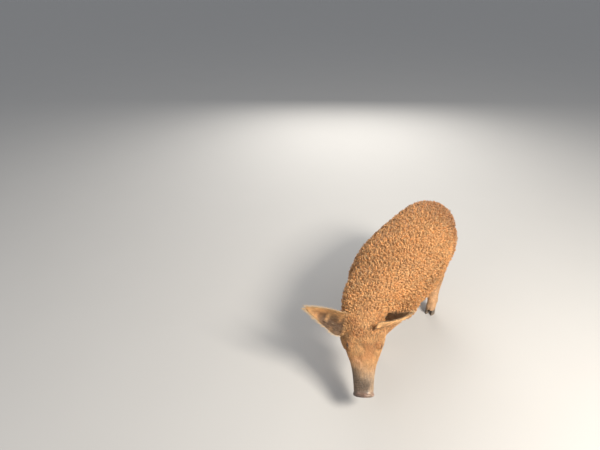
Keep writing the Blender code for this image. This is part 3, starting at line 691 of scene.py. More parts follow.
def shapeMuzzle(points, normals):
    local = headLocal(points)
    s, l, u = local.T
    onHead = onHeadAt(points) > 0.5
    low, high = head["mouthSpan"]
    # line of the mouth between its lips
    d = u - mouthLevel(s)
    fade = smoothStep(low - 0.006, low + 0.016, s) * smoothStep(high + 0.004, high - 0.002, s) * onHead
    lips = 0.0010 * bell(d - 0.0042, 0.0026) + 0.0012 * bell(d + 0.0042, 0.0028)
    move = (lips - 0.0034 * bell(d, 0.0012)) * fade
    # a fold that runs on behind the corner of the mouth
    corner = bell(s - (low - 0.004) - 0.25 * d, 0.0016) * (np.abs(d) < 0.016) * onHead * (s < 0.2)
    move = move - 0.0010 * corner * smoothStep(0.016, 0.004, np.abs(d))
    # wrinkles across the top of the muzzle behind the disc
    wave = np.sin(2 * np.pi * s / 0.0088 + 1.3 * np.sin(l * 75.0) + 0.8 * np.sin(l * 31.0 + 1.0))
    top = smoothStep(0.240, 0.268, s) * smoothStep(0.308, 0.300, s) * smoothStep(-0.012, 0.010, u) * onHead
    moved = points + normals * (move + 0.0007 * wave * top)[:, None]
    # disc: raised rim, slightly hollow front, two nostrils
    wide, tall, _ = head["disc"]
    front = smoothStep(head["discFrom"] + 0.006, head["discFrom"] + 0.012, s) * onHead
    e = np.hypot(l / wide, u / tall)
    push = 0.0016 * bell(e - 0.84, 0.11) - 0.0012 * np.clip(1 - e, 0, 1)
    push = push - 0.0010 * bell(l, 0.0016) * (u < -0.010)
    for side in (-1, 1):
        n = nostrilAt(local, side)
        push = push - head["nostril"][4] * smoothStep(1.0, 0.35, n) + 0.0011 * bell(n - 1.5, 0.45)
    return moved + np.outer(push * front, np.array(headAlong))


def shapeLegs(points, normals):
    z = points[:, 2]
    move = np.zeros(len(points))
    for name in feet["places"]:
        x, y = besideLeg(points, name)
        near = (np.hypot(x, y) < 0.05) * smoothStep(0.21, 0.16, z)
        groove = 0.0035 * bell(x, 0.0030) * smoothStep(0.056, 0.034, z)  # between the toes
        sinews = 0.0018 * bell(np.abs(x) - 0.014, 0.0050) * (y > 0.004)
        sinews = sinews * smoothStep(0.055, 0.075, z) * smoothStep(0.150, 0.120, z)
        waist = 0.0030 * smoothStep(0.046, 0.028, z) + 0.0026 * bell(z - 0.050, 0.0100)  # above the claws
        swell = 0.0022 * bell(z - 0.074, 0.0110)
        move = move + (swell - groove - sinews - waist) * near
    small = feet["small"]
    for _, _, inner, turn, center, _ in footParts():  # a soft root for each small claw
        base = center + turn @ Vector((inner * small["apart"], small["behind"] + 0.010, small["height"]))
        move = move + 0.0046 * bell(np.linalg.norm(points - np.array(base), axis=1), 0.0105)
    return points + normals * move[:, None]


print("shaping the skin")
skin = makeFlesh()
remesh = skin.modifiers.new("remesh", "REMESH")
remesh.mode = "VOXEL"
remesh.voxel_size = skinLook["voxel"]
relax = skin.modifiers.new("relax", "SMOOTH")
relax.factor = 0.5
relax.iterations = skinLook["smooth"]
applyModifiers(skin)
smoothJoins(skin)
print("skin faces before thinning", len(skin.data.polygons))
skinPoints, skinNormals = readPoints(skin.data)
writePoints(skin.data, insetCoat(skinPoints, skinNormals))
thinSkin(skin)
print("after thinning", len(skin.data.polygons))
refine(skin, lambda p: nearEyes(p, 0.026) | nearMouth(p, 0.011) | nearSnout(p, 0.250))
refine(skin, lambda p: nearEyes(p, 0.020) | nearMouth(p, 0.0055) | nearSnout(p, 0.309))
refine(skin, lambda p: nearSnout(p, 0.312) & (np.minimum(nostrilAt(headLocal(p), 1),
                                                         nostrilAt(headLocal(p), -1)) < 2.2))
skinPoints, skinNormals = readPoints(skin.data)
skinPoints = shapeLegs(shapeMuzzle(skinPoints, skinNormals), skinNormals)
for which in ("left", "right"):
    skinPoints = shapeEye(skinPoints, which)
writePoints(skin.data, skinPoints)
skin.data.shade_smooth()
print("skin triangles", len(skin.data.polygons))

# Markings, the same for hair and skin, as linear colours
paint = {
    "ginger": (0.80, 0.395, 0.142),
    "rump": (0.46, 0.205, 0.078),
    "red": (0.47, 0.185, 0.058),
    "flank": (0.64, 0.285, 0.090),
    "belly": (0.62, 0.35, 0.16),
    "leg": (0.80, 0.455, 0.225),
    "face": (0.60, 0.305, 0.115),
    "muzzle": (0.44, 0.310, 0.205),
    # wet: the colour of wet mud, also used as painted shade on the right side of the nose and disc
    "wet": (0.072, 0.046, 0.032),
    "paleFace": (0.80, 0.45, 0.19),
    "bristle": (0.66, 0.46, 0.27),
    "discPink": (0.36, 0.215, 0.165),
    "nostril": (0.018, 0.010, 0.008),
    "disc": (0.21, 0.140, 0.105),
    "earRim": (0.58, 0.315, 0.125),
    # painted light on the lit outer wall of an ear
    "litEarWall": (1.0, 0.58, 0.25),
    # painted shade in the hollow of the ear cup, on the skin and on its short hair
    "shadedEarCup": (0.038, 0.015, 0.005),
    "shadedEarCupHair": (0.070, 0.028, 0.008),
    "mud": (0.20, 0.145, 0.10),
    "earHair": (0.66, 0.44, 0.22),
    "earHairDark": (0.11, 0.046, 0.013),
    "lash": (0.10, 0.055, 0.03),
    "lidRim": (0.075, 0.045, 0.032),
}


def mixTo(colors, name, amount):
    amount = np.clip(amount, 0.0, 1.0)[:, None]
    return colors * (1 - amount) + np.array(paint[name]) * amount


def softNoise(points, scale, seed):  # smooth sum of waves, between -1 and 1
    rng = np.random.RandomState(seed)
    total = np.zeros(len(points))
    for _ in range(7):
        way = rng.normal(size=3)
        way = way / np.linalg.norm(way) * scale * rng.uniform(0.6, 1.6)
        total += np.sin(points @ way + rng.uniform(0, 6.3))
    return total / 3.2


def markingsAt(points):
    local = headLocal(points)
    s, l, _ = local.T
    onHead = onHeadAt(points)
    legAmount = legAt(points)
    colors = np.tile(np.array(paint["ginger"]), (len(points), 1))
    forward = body["rearY"] + rowShift.y - points[:, 1]
    patchy = softNoise(points, 26.0, 3)
    blotchy = softNoise(points, 95.0, 8)
    fine = softNoise(points, 240.0, 9)
    colors = mixTo(colors, "rump", smoothStep(0.29, 0.07, forward + 0.03 * patchy) * 0.95)
    colors = mixTo(colors, "flank", smoothStep(0.40, 0.26, points[:, 2] + 0.02 * patchy) * (1 - onHead) * 0.8)
    colors = mixTo(colors, "belly", smoothStep(0.24, 0.17, points[:, 2]) * (1 - onHead) * 0.8)
    colors = mixTo(colors, "leg", legAmount * 0.9)
    colors = mixTo(colors, "mud", legAmount * smoothStep(0.060, 0.020, points[:, 2] + 0.012 * patchy) * 0.55)
    colors = mixTo(colors, "face", onHead * smoothStep(0.00, 0.12, s))
    # reddish blotches on poll, forehead and face, and a few on the body
    red = smoothStep(0.15, 0.85, blotchy) * (0.20 + 0.35 * onHead * smoothStep(0.26, 0.20, s))
    colors = mixTo(colors, "red", red)
    colors = mixTo(colors, "paleFace", onHead * smoothStep(0.1, 0.9, -blotchy) * smoothStep(0.22, 0.16, s) * 0.5)
    # the nose turns from ginger to beige with a ragged edge, and darkens towards the disc in wet blotches and in
    # painted shade, which reaches further back on its right side
    ragged = s + 0.012 * patchy + 0.010 * blotchy + 0.004 * fine
    colors = mixTo(colors, "muzzle", onHead * smoothStep(0.172, 0.262, ragged - 0.10 * np.abs(l)) * 0.95)
    reach = s - 1.6 * (l - 0.009) + 0.014 * blotchy
    wet = smoothStep(0.215, 0.305, reach) * smoothStep(-0.7, 0.4, blotchy + 0.7 * fine - 26.0 * (l - 0.008))
    colors = mixTo(colors, "wet", onHead * wet * smoothStep(0.19, 0.25, s) * 0.84)
    colors = mixTo(colors, "disc", onHead * smoothStep(0.292, 0.314, s + 0.006 * blotchy + 0.1 * l) * 0.8)
    front = onHead * smoothStep(0.302, 0.312, s)
    colors = mixTo(colors, "discPink", front * smoothStep(-0.3, 0.7, blotchy - 0.6 * fine) * 0.8)
    # painted shade over the right half of the disc
    colors = mixTo(colors, "wet", front * smoothStep(-0.1, 0.6, 0.5 * blotchy - 30.0 * l) * 0.75)
    for side in (-1, 1):
        colors = mixTo(colors, "nostril", front * smoothStep(1.25, 0.55, nostrilAt(local, side)))
    for which in ("right", "left"):
        u, _, share, on = earAt(points, which)
        rim = np.maximum(smoothStep(0.55, 0.95, np.abs(share)), smoothStep(0.70, 0.95, u))
        colors = mixTo(colors, "earRim", on * (0.35 + 0.65 * rim))
        # painted light: the outer wall of the ear that faces the light is painted brighter
        wall = smoothStep(0.0, -0.35, share * ears[which]["back"]) * ears[which]["wall"]
        colors = mixTo(colors, "litEarWall", on * wall * smoothStep(1.0, 0.8, u))
    tiny = softNoise(points, 520.0, 10) * onHead
    return colors * (1 + 0.07 * patchy + 0.06 * blotchy + (0.05 + 0.07 * onHead) * fine + 0.15 * tiny)[:, None]


def cupShadeAt(points, normals, which):  # 1 where painted shade darkens the cup of the ear
    u, _, share, on = earAt(points, which)
    faces = earFrame(which)[3]
    inner = smoothStep(0.10, 0.35, normals @ np.array(faces)) * on
    back = share * ears[which]["back"]
    low, high, end = ears[which]["dark"]
    # painted shade across the cup, broken into patches, stronger on the ear with the lit wall
    patchy = softNoise(points, 120.0, 21) + 0.9 * (1 - 1.4 * u) + 0.8 * ears[which]["wall"]
    dark = smoothStep(low, high, back) * smoothStep(-0.75, 0.15, patchy)
    # painted shade deep in the cup near the root
    root = smoothStep(0.32, 0.14, u) * smoothStep(-0.6, 0.2, back)
    return inner * smoothStep(1.10, 0.94, back) * np.maximum(dark, root) * smoothStep(end, 0.50, u)


def lidRimAt(points, which):  # dark margin round the opening of the eye
    x, y, z = inFrame(points, *eyeFrame(which))
    near = (x ** 2 + y ** 2 + z ** 2 < 0.022 ** 2) & (z > 0)
    return near * smoothStep(0.0040, 0.0012, -insideOpening(x, y))


def lipAt(points):  # dark line between the lips
    local = headLocal(points)
    low, high = head["mouthSpan"]
    span = smoothStep(low - 0.004, low + 0.010, local[:, 0]) * smoothStep(high + 0.004, high, local[:, 0])
    return span * bell(local[:, 2] - mouthLevel(local[:, 0]), 0.0016) * onHeadAt(points)


def setColors(mesh, name, colors):
    layer = mesh.attributes.new(name, "FLOAT_COLOR", "POINT")
    rgba = np.ones((len(colors), 4), np.float32)
    rgba[:, :3] = colors
    layer.data.foreach_set("color", rgba.ravel())


def setValues(mesh, name, values):
    layer = mesh.attributes.new(name, "FLOAT", "POINT")
    layer.data.foreach_set("value", np.asarray(values, np.float32).ravel())


def strokesAt(points):  # coordinates that run slowly along the short hair and fast across it
    onHead, onLeg = onHeadAt(points)[:, None], legAt(points)[:, None]
    strokes = points * (0.3, 1.0, 1.0) * (1 - onHead) + headLocal(points) * (0.10, 1.0, 1.0) * onHead
    strokes = strokes * (1 - onLeg) + points * (1.0, 1.0, 0.10) * onLeg
    for which in ("right", "left"):
        root, axis, _, faces, side = earFrame(which)
        own = np.stack(inFrame(points, root, axis * 0.10, side, faces), -1)
        on = earAt(points, which)[3][:, None]
        strokes = strokes * (1 - on) + own * on
    return strokes


skinPoints, skinNormals = readPoints(skin.data)
strokes = skin.data.attributes.new("strokes", "FLOAT_VECTOR", "POINT")
strokes.data.foreach_set("vector", strokesAt(skinPoints).astype(np.float32).ravel())
skinColors = markingsAt(skinPoints)
covered = coatAt(skinPoints)
bare = smoothStep(0.285, 0.305, headLocal(skinPoints)[:, 0]) * onHeadAt(skinPoints)
# skin under the coat darker: its own darker colour, and painted shade between the locks
skinColors = skinColors * (0.80 - 0.25 * covered)[:, None] * (1 + 0.2 * bare)[:, None]
for which in ("right", "left"):
    # painted shade in the ear cups
    skinColors = mixTo(skinColors, "shadedEarCup", cupShadeAt(skinPoints, skinNormals, which) * 0.85)
    skinColors = mixTo(skinColors, "lidRim", lidRimAt(skinPoints, which))
skinColors = mixTo(skinColors, "lidRim", lipAt(skinPoints) * 0.75)
setColors(skin.data, "markings", skinColors)
setValues(skin.data, "bare", bare)
setValues(skin.data, "woolly", smoothStep(0.25, 0.55, covered) * (1 - bare))

# Coat: each kind of lock with its spacing, strands and rings, its run along the skin and rise over it, the
# radius and turns of its curl, the size of a strand and how far it stands from its neighbours, how deep the
# root is sunk, and how far a lock may turn away from the lie
coat = {
    "seed": 7,
    "curl": {"spacing": 0.0066, "strands": 3, "rings": 6, "run": 0.0112, "rise": 0.0086, "radius": 0.0032,
             "turns": (0.60, 1.20), "width": 0.00100, "thick": 0.00062, "apart": 0.0022, "sunk": 0.0030,
             "turn": 1.5},
    "crown": {"spacing": 0.0056, "strands": 2, "rings": 5, "run": 0.0105, "rise": 0.0042, "radius": 0.0020,
              "turns": (0.50, 1.00), "width": 0.00090, "thick": 0.00058, "apart": 0.0014, "sunk": 0.0015,
              "turn": 0.8},
    "short": {"spacing": 0.0025, "strands": 1, "rings": 3, "run": 0.0088, "rise": 0.0010, "radius": 0.0005,
              "turns": (0.2, 0.6), "width": 0.00040, "thick": 0.00026, "apart": 0.0, "sunk": 0.0006,
              "turn": 0.25},
    "long": {"strands": 1, "rings": 5, "run": 0.0150, "rise": 0.0022, "radius": 0.0012,
             "turns": (0.3, 0.8), "width": 0.00038, "thick": 0.00026, "apart": 0.0, "sunk": 0.0004,
             "turn": 0.25},
    # from lock to lock, and among the strands of one lock
    "spread": {"size": (0.78, 1.16), "run": (0.78, 1.18, 0.08), "rise": (0.78, 1.25, 0.10),
               "radius": (0.70, 1.20, 0.10), "width": (0.8, 1.25, 0.1)},
    # how full the coat is where the kinds begin and end, and how many places are tried for each
    "curlFrom": 0.55, "crownFrom": 0.19, "shortTo": 0.36,
    "tries": {"curl": 80000, "crown": 70000, "short": 150000},
    "rimHairs": 520, "cupHairs": 150, "tailHairs": 700, "lashes": 26,
}


def surfaceOf(obj):  # points and normals, and the corners, areas and middles of the triangles
    points, normals = readPoints(obj.data)
    obj.data.calc_loop_triangles()
    corners = np.empty(len(obj.data.loop_triangles) * 3, np.int32)
    obj.data.loop_triangles.foreach_get("vertices", corners)
    corners = corners.reshape(-1, 3)
    a, b, c = (points[corners[:, k]] for k in range(3))
    areas = np.linalg.norm(np.cross(b - a, c - a), axis=1) / 2
    return {"points": points, "normals": normals, "corners": corners, "areas": areas,
            "middles": (a + b + c) / 3}


def spreadOut(points, spacing):  # keeps points that stand at least a spacing apart
    cell = float(spacing.max())
    taken = {}
    kept = []
    around = [(i, j, k) for i in (-1, 0, 1) for j in (-1, 0, 1) for k in (-1, 0, 1)]
    for index, (point, space) in enumerate(zip(points.tolist(), spacing.tolist())):
        x, y, z = point
        key = (int(x // cell), int(y // cell), int(z // cell))
        limit = space * space
        free = True
        for i, j, k in around:
            for ox, oy, oz in taken.get((key[0] + i, key[1] + j, key[2] + k), ()):
                if (x - ox) ** 2 + (y - oy) ** 2 + (z - oz) ** 2 < limit:
                    free = False
                    break
            if not free:
                break
        if free:
            taken.setdefault(key, []).append((x, y, z))
            kept.append(index)
    return np.array(kept, int)


def lieAt(points, normals):  # back along the body and down its sides, up the face, down the legs
    side = np.sign(points[:, 0]) * np.clip(np.abs(points[:, 0]) / 0.10, 0, 1)
    lie = np.stack([0.10 * side, np.ones(len(points)), -0.55 * np.abs(side)], -1)
    onHead = onHeadAt(points)[:, None]
    local = headLocal(points)
    outward = np.clip(local[:, 1:2] / 0.07, -1, 1)
    face = -np.array(headAlong) + 0.35 * outward * np.array(headLeft) - 0.25 * np.abs(outward) * np.array(headUp)
    lie = lie * (1 - onHead) + face * onHead
    down = legAt(points)[:, None]
    lie = lie * (1 - down) + np.array((0.0, 0.25, -1.0)) * down
    for which in ("right", "left"):
        _, v, _, on = earAt(points, which)
        _, axis, _, _, across = earFrame(which)
        away = np.array(axis) + np.outer(np.clip(v / 0.05, -1, 1) * 0.5, np.array(across))
        lie = lie * (1 - on[:, None]) + away * on[:, None]
    rear = tailAt(points)[:, None]
    lie = lie * (1 - rear) + np.array((0.0, 0.1, -1.0)) * rear
    lie = lie - normals * np.sum(lie * normals, axis=1, keepdims=True)
    return lie / np.maximum(np.linalg.norm(lie, axis=1, keepdims=True), 1e-6)


def turned(vectors, axes, angles):
    c, s = np.cos(angles)[:, None], np.sin(angles)[:, None]
    return vectors * c + np.cross(axes, vectors) * s + axes * np.sum(axes * vectors, 1, keepdims=True) * (1 - c)


def unwrapAt(points):  # places on an unwrap of the skin: trunk, head, legs, ears and tail side by side
    forward = body["rearY"] + rowShift.y - points[:, 1]
    angle = np.arctan2(points[:, 0] - rowShift.x, points[:, 2] - 0.33) / (2 * np.pi) + 0.5
    spots = np.stack([0.02 + 0.94 * np.clip(forward / 0.95, 0, 1), 0.51 + 0.47 * angle], -1)
    local = headLocal(points)
    turn = np.arctan2(local[:, 1], local[:, 2]) / (2 * np.pi) + 0.5
    onHead = onHeadAt(points) > 0.5
    headSpots = np.stack([0.02 + 0.30 * np.clip((local[:, 0] + 0.05) / 0.38, 0, 1), 0.02 + 0.46 * turn], -1)
    spots[onHead] = headSpots[onHead]
    onLeg = legAt(points) > 0.5
    for index, name in enumerate(feet["places"]):
        x, y = besideLeg(points, name)
        on = onLeg & (np.hypot(x, y) < 0.062)
        around = np.arctan2(x, y) / (2 * np.pi) + 0.5
        legSpots = np.stack([0.36 + 0.075 * (index + 0.9 * around), 0.02 + 1.6 * points[:, 2]], -1)
        spots[on] = legSpots[on]
    for index, which in enumerate(("right", "left")):
        u, v, _, on = earAt(points, which)
        earSpots = np.stack([0.75 + 0.16 * index + 1.1 * v, 0.03 + 0.36 * u], -1)
        spots[on > 0.5] = earSpots[on > 0.5]
    onTail = tailAt(points) > 0.5
    spots[onTail] = np.stack([0.70 + 0.5 * (0.43 - points[:, 2]), 0.44 + points[:, 0]], -1)[onTail]
    return spots


def growLocks(name, roots, normals, lies, kind, scale, rng, colors=None):
    look, spread = coat[kind], coat["spread"]
    strands, rings = look["strands"], look["rings"]
    tufts = len(roots)
    count = tufts * strands

    def each(low, high, among=0.0):  # one draw a lock, with a little spread among its strands
        value = np.repeat(rng.uniform(low, high, tufts), strands)
        return value + rng.uniform(-among, among, count)

    root = np.repeat(roots, strands, axis=0)
    normal = np.repeat(normals, strands, axis=0)
    size = np.repeat(scale * rng.uniform(*spread["size"], tufts), strands)[:, None]
    lie = np.repeat(turned(lies, normals, rng.uniform(-look["turn"], look["turn"], tufts)), strands, axis=0)
    lie = turned(lie, normal, rng.uniform(-0.12, 0.12, count))
    across = np.cross(lie, normal)
    run, rise, radius = (look[key] * each(*spread[key])[:, None] * size for key in ("run", "rise", "radius"))
    hand = np.repeat(rng.choice((-1.0, 1.0), tufts), strands)[:, None]
    turns = each(*look["turns"], 0.05)[:, None]
    phase = each(0, 2 * np.pi, 0.45)[:, None]
    ring = (np.tile(np.arange(strands), tufts) / strands * 2 * np.pi + each(0, 2 * np.pi))[:, None]
    offset = (across * np.cos(ring) + (normal * 0.6 + lie * 0.5) * np.sin(ring)) * look["apart"] * size ** 0.6
    steps = np.linspace(0.0, 1.0, rings)
    line = np.empty((count, rings, 3))
    for k, t in enumerate(steps):
        bow = math.sin(math.pi * 0.80 * t ** 0.8)
        curl = radius * float(smoothStep(0.0, 0.40, t)) * (1.0 - 0.35 * t)
        angle = phase + hand * 2 * np.pi * turns * t
        middle = root - normal * look["sunk"] + lie * run * t ** 1.2 + normal * (rise + look["sunk"]) * bow
        swirl = curl * (np.cos(angle) * across + 0.8 * np.sin(angle) * normal)
        line[:, k] = middle + swirl + offset * (1.0 - 0.65 * t)
    tangent = np.gradient(line, axis=1)
    tangent /= np.maximum(np.linalg.norm(tangent, axis=2, keepdims=True), 1e-9)
    guide = normal[:, None, :] * 0.8 + lie[:, None, :] * -0.6 * steps[None, :, None]
    side = np.cross(tangent, guide)
    side /= np.maximum(np.linalg.norm(side, axis=2, keepdims=True), 1e-9)
    over = np.cross(side, tangent)
    taper = np.interp(steps, [0.0, 0.15, 0.6, 1.0], [0.85, 1.0, 0.80, 0.12])[None, :]
    half = look["width"] * size ** 0.4 * each(*spread["width"])[:, None] * taper
    thick = look["thick"] * size ** 0.4 * taper
    corners = np.stack([line + side * half[..., None], line + over * thick[..., None],
                        line - side * half[..., None]], axis=2)
    first = (np.arange(count) * rings * 3)[:, None, None, None]
    ring = (np.arange(rings - 1) * 3)[None, :, None, None]
    corner = np.arange(3)[None, None, :, None]
    following = (corner + 1) % 3
    quads = np.concatenate([first + ring + following, first + ring + corner,
                            first + ring + 3 + corner, first + ring + 3 + following], axis=3).reshape(-1, 4)
    base = np.arange(count)[:, None] * rings * 3
    rootCaps = base + np.array([[0, 1, 2]])
    tipCaps = base + (rings - 1) * 3 + np.array([[2, 1, 0]])
    loops = np.concatenate([quads.ravel(), rootCaps.ravel(), tipCaps.ravel()])
    starts = np.concatenate([np.arange(len(quads)) * 4, len(quads) * 4 + np.arange(2 * count) * 3])
    mesh = bpy.data.meshes.new(name)
    mesh.vertices.add(count * rings * 3)
    mesh.vertices.foreach_set("co", corners.astype(np.float32).ravel())
    mesh.loops.add(len(loops))
    mesh.loops.foreach_set("vertex_index", loops.astype(np.int32))
    mesh.polygons.add(len(starts))
    mesh.polygons.foreach_set("loop_start", starts.astype(np.int32))
    mesh.update(calc_edges=True)
    mesh.shade_smooth()
    if colors is None:
        colors = markingsAt(roots)
    warm = rng.normal(0.0, 1.0, tufts)[:, None]  # some locks redder, some more straw
    colors = colors * (1.0 + np.array((0.03, -0.06, -0.16)) * warm)
    tone = rng.uniform(-1, 1, tufts) - 0.9 * (rng.uniform(0, 1, tufts) < 0.14)
    setColors(mesh, "markings", np.repeat(np.repeat(colors, strands, axis=0), rings * 3, axis=0))
    setValues(mesh, "tone", np.repeat(each(0, 0, 0.25) + np.repeat(tone, strands) * 0.75, rings * 3))
    setValues(mesh, "reach", np.tile(np.repeat(steps, 3), count))
    setValues(mesh, "across", np.tile(np.array([1.0, 0.0, -1.0]), count * rings))
    setValues(mesh, "strand", np.repeat(rng.uniform(0, 1, count), rings * 3))
    patch = np.repeat(unwrapAt(root), rings * 3, axis=0)
    patch[:, 0] += np.tile(np.array([-1, 0, 1]), count * rings) * 0.0012
    patch[:, 1] += (np.tile(np.repeat(steps, 3), count) - 0.5) * 0.003
    bake = mesh.uv_layers.new(name="OFBake")
    bake.data.foreach_set("uv", patch[loops].astype(np.float32).ravel())
    obj = bpy.data.objects.new(name, mesh)
    bpy.context.scene.collection.objects.link(obj)
    print(name, count, "strands", count * (6 * (rings - 1) + 2), "triangles")
    return obj


def regionOf(points):  # which piece of the coat a root belongs to
    forward = body["rearY"] + rowShift.y - points[:, 1]
    side = np.where(points[:, 0] > rowShift.x, "left", "right")
    zone = np.select([forward < 0.20, forward < 0.37, forward < 0.53, forward < 0.68],
                     ["rump", "loin", "chest", "shoulder"], "neck")
    return np.char.add(np.char.add(zone, "_"), side)


def columnsOf(rows):
    return [np.array(column) for column in zip(*rows)]


def earRoots(rng):  # fringe along the rim and longer hairs inside the cup
    rows = []
    for which in ("right", "left"):
        frameOf = earFrame(which)
        _, axis, _, faces, side = frameOf
        for _ in range(coat["rimHairs"]):
            u = 0.04 + 0.96 * rng.uniform() ** 0.8
            edge = rng.choice((-1, 1))
            point, normal = earPoint(which, u, edge * rng.uniform(0.90, 1.0), frameOf)
            outward = side * edge * (1.0 - 0.7 * u) + axis * (0.55 + 0.6 * u) + faces * 0.15
            atBack = edge * ears[which]["back"] > 0 and u < 0.85
            shade = 0.85 * ears[which]["wall"] if atBack else 0.15 * rng.uniform()
            rows.append((point, normal, outward.normalized(), 0.75 + 0.45 * u, shade))
        for _ in range(coat["cupHairs"]):
            u = 0.06 + 0.45 * rng.uniform()
            v = rng.uniform(-0.75, 0.75)
            point, normal = earPoint(which, u, v, frameOf)
            lie = (axis - side * v * 0.5 + faces * 0.35).normalized()
            shade = 1.0 - 0.8 * rng.uniform() ** 2.5
            rows.append((point + normal * 0.003, normal, lie, 0.8 + 0.4 * abs(v), shade))
    roots, normals, lies, scale, shades = columnsOf(rows)
    lies = lies - normals * np.sum(lies * normals, axis=1, keepdims=True) * 0.6
    lies = lies / np.linalg.norm(lies, axis=1, keepdims=True)
    return roots, normals, lies, scale, shades


def lashRoots():  # along the upper lids
    rows = []
    wide, upper, _ = eyes["opening"]
    for which in ("left", "right"):
        center, across, over, aim = eyeFrame(which)
        for step in range(coat["lashes"]):
            x = (step / (coat["lashes"] - 1) * 2 - 1) * wide * 0.92
            y = upper * (1 - (x / wide) ** 2) ** 0.7 + 0.0010
            z = math.sqrt(max(0.0, (eyes["radius"] + 0.0016) ** 2 - x * x - y * y))
            out = (aim * 0.9 + over * 0.35 + across * x / wide * 0.5).normalized()
            rows.append((center + across * x + over * y + aim * z, (over - out * over.dot(out)).normalized(), out))
    return columnsOf(rows)


def tailRoots(rng):  # longer hairs towards the end of the tail
    rows = []
    line = tailLine()
    for _ in range(coat["tailHairs"]):
        share = 0.35 + 0.65 * rng.uniform() ** 0.6
        _, point, heading = line[int(share * (len(line) - 1))]
        turn = rng.uniform(0, 2 * math.pi)
        side = heading.orthogonal().normalized()
        out = side * math.cos(turn) + heading.cross(side) * math.sin(turn)
        radius = tail["radii"][0] * (1 - share) + tail["radii"][1] * share
        root = point + out * radius * 0.8 + heading * rng.uniform(-0.005, 0.005)
        rows.append((root, out, heading, 0.9 + 1.3 * share * rng.uniform(0.6, 1.0)))
    return columnsOf(rows)


def bareAt(points):  # 1 on the disc, in the nostrils and along the mouth
    disc = smoothStep(0.298, 0.304, headLocal(points)[:, 0]) * onHeadAt(points)
    return np.maximum(disc, nearMouth(points, 0.0032) * 1.0)


def clearOfEyes(points):
    keep = np.ones(len(points), bool)
    wide, upper, _ = eyes["opening"]
    for which in ("left", "right"):
        x, y, z = inFrame(points, *eyeFrame(which))
        near = x ** 2 + y ** 2 + z ** 2 < 0.030 ** 2
        keep &= ~(near & ((x / (wide + 0.0025)) ** 2 + (y / (upper + 0.0030)) ** 2 < 1.0))
    return keep


def scatter(surface, where, kind, spacingAt, rng):  # roots over part of the skin, none too near another
    tries = coat["tries"][kind]
    weight = surface["areas"] * (where + 1e-9)
    pick = rng.choice(len(weight), size=tries, p=weight / weight.sum())
    share = rng.dirichlet((1.0, 1.0, 1.0), size=tries)
    spots, normals = (np.einsum("nk,nkd->nd", share, surface[key][surface["corners"][pick]])
                      for key in ("points", "normals"))
    normals = normals / np.linalg.norm(normals, axis=1, keepdims=True)
    kept = spreadOut(spots, coat[kind]["spacing"] * spacingAt(spots))
    return spots[kept], normals[kept]


def makeCoat():
    rng = np.random.RandomState(coat["seed"])
    surface = surfaceOf(skin)
    at = surface["middles"]
    full = coatAt(at)
    onHead = onHeadAt(at) >= 0.5
    pieces = []
    # long curls on trunk and neck
    spots, normals = scatter(surface, (full > coat["curlFrom"]) & ~onHead, "curl",
                             lambda p: 0.72 + 0.28 * coatAt(p), rng)
    amount = coatAt(spots)
    sway = softNoise(spots, 34.0, 11) * 0.55 + softNoise(spots, 90.0, 12) * 0.35
    lies = turned(lieAt(spots, normals), normals, sway)
    regions = regionOf(spots)
    for region in np.unique(regions):
        on = regions == region
        pieces.append(growLocks("coat_" + str(region), spots[on], normals[on], lies[on], "curl",
                                0.40 + 0.60 * amount[on], rng))
    # smaller curls on poll, forehead, cheeks and upper legs, thinning out towards the short hair
    spots, normals = scatter(surface, (full > coat["crownFrom"]) & ((full <= coat["curlFrom"]) | onHead), "crown",
                             lambda p: np.interp(coatAt(p), [0.19, 0.24, 0.32, 0.45, 0.80],
                                                 [1.60, 0.95, 0.72, 0.82, 1.0]), rng)
    away = clearOfEyes(spots)
    spots, normals = spots[away], normals[away]
    lies = turned(lieAt(spots, normals), normals, softNoise(spots, 60.0, 13) * 0.5)
    scale = np.interp(coatAt(spots), [0.19, 0.30, 0.50], [0.42, 0.55, 1.0])
    onLeft = headLocal(spots)[:, 1] > 0
    onFace = onHeadAt(spots) > 0.5
    for name, on in (("crown_left", onFace & onLeft), ("crown_right", onFace & ~onLeft), ("thighs", ~onFace)):
        pieces.append(growLocks("coat_" + name, spots[on], normals[on], lies[on], "crown", scale[on], rng))
    # short flat hair on face, lower legs, ears and tail
    spots, normals = scatter(surface, (full <= coat["shortTo"]) & (bareAt(at) < 0.5), "short",
                             lambda p: 1.0 + 0.10 * (onHeadAt(p) < 0.5), rng)
    away = clearOfEyes(spots)
    spots, normals = spots[away], normals[away]
    onFace = onHeadAt(spots) > 0.5
    lies = lieAt(spots, normals)
    scale = (0.66 + 1.5 * coatAt(spots)) * (0.40 + 0.60 * smoothStep(0.030, 0.100, spots[:, 2]))
    bristly = 0.22 * onFace * smoothStep(0.17, 0.25, headLocal(spots)[:, 0])
    colors = mixTo(markingsAt(spots) * 1.10, "bristle", bristly)
    for which in ("right", "left"):
        # painted shade on the short hair in the ear cups
        colors = mixTo(colors, "shadedEarCupHair", cupShadeAt(spots, normals, which) * 0.92)
    for name, on in (("coat_face", onFace), ("coat_limbs", ~onFace)):
        pieces.append(growLocks(name, spots[on], normals[on], lies[on], "short", scale[on], rng, colors[on]))
    # fringes and lashes
    roots, normals, lies, scale, shades = earRoots(rng)
    colors = mixTo(np.tile(np.array(paint["earHair"]), (len(roots), 1)), "earHairDark", shades)
    pieces.append(growLocks("coat_ear_fringe", roots, normals, lies, "long", scale, rng, colors))
    roots, normals, lies, scale = tailRoots(rng)
    pieces.append(growLocks("coat_tail", roots, normals, lies, "long", scale, rng))
    roots, normals, lies = lashRoots()
    colors = np.tile(np.array(paint["lash"]), (len(roots), 1))
    pieces.append(growLocks("lashes", roots, normals, lies, "long", np.full(len(roots), 0.72), rng, colors))
    return pieces


print("growing the coat")
coatPieces = makeCoat()


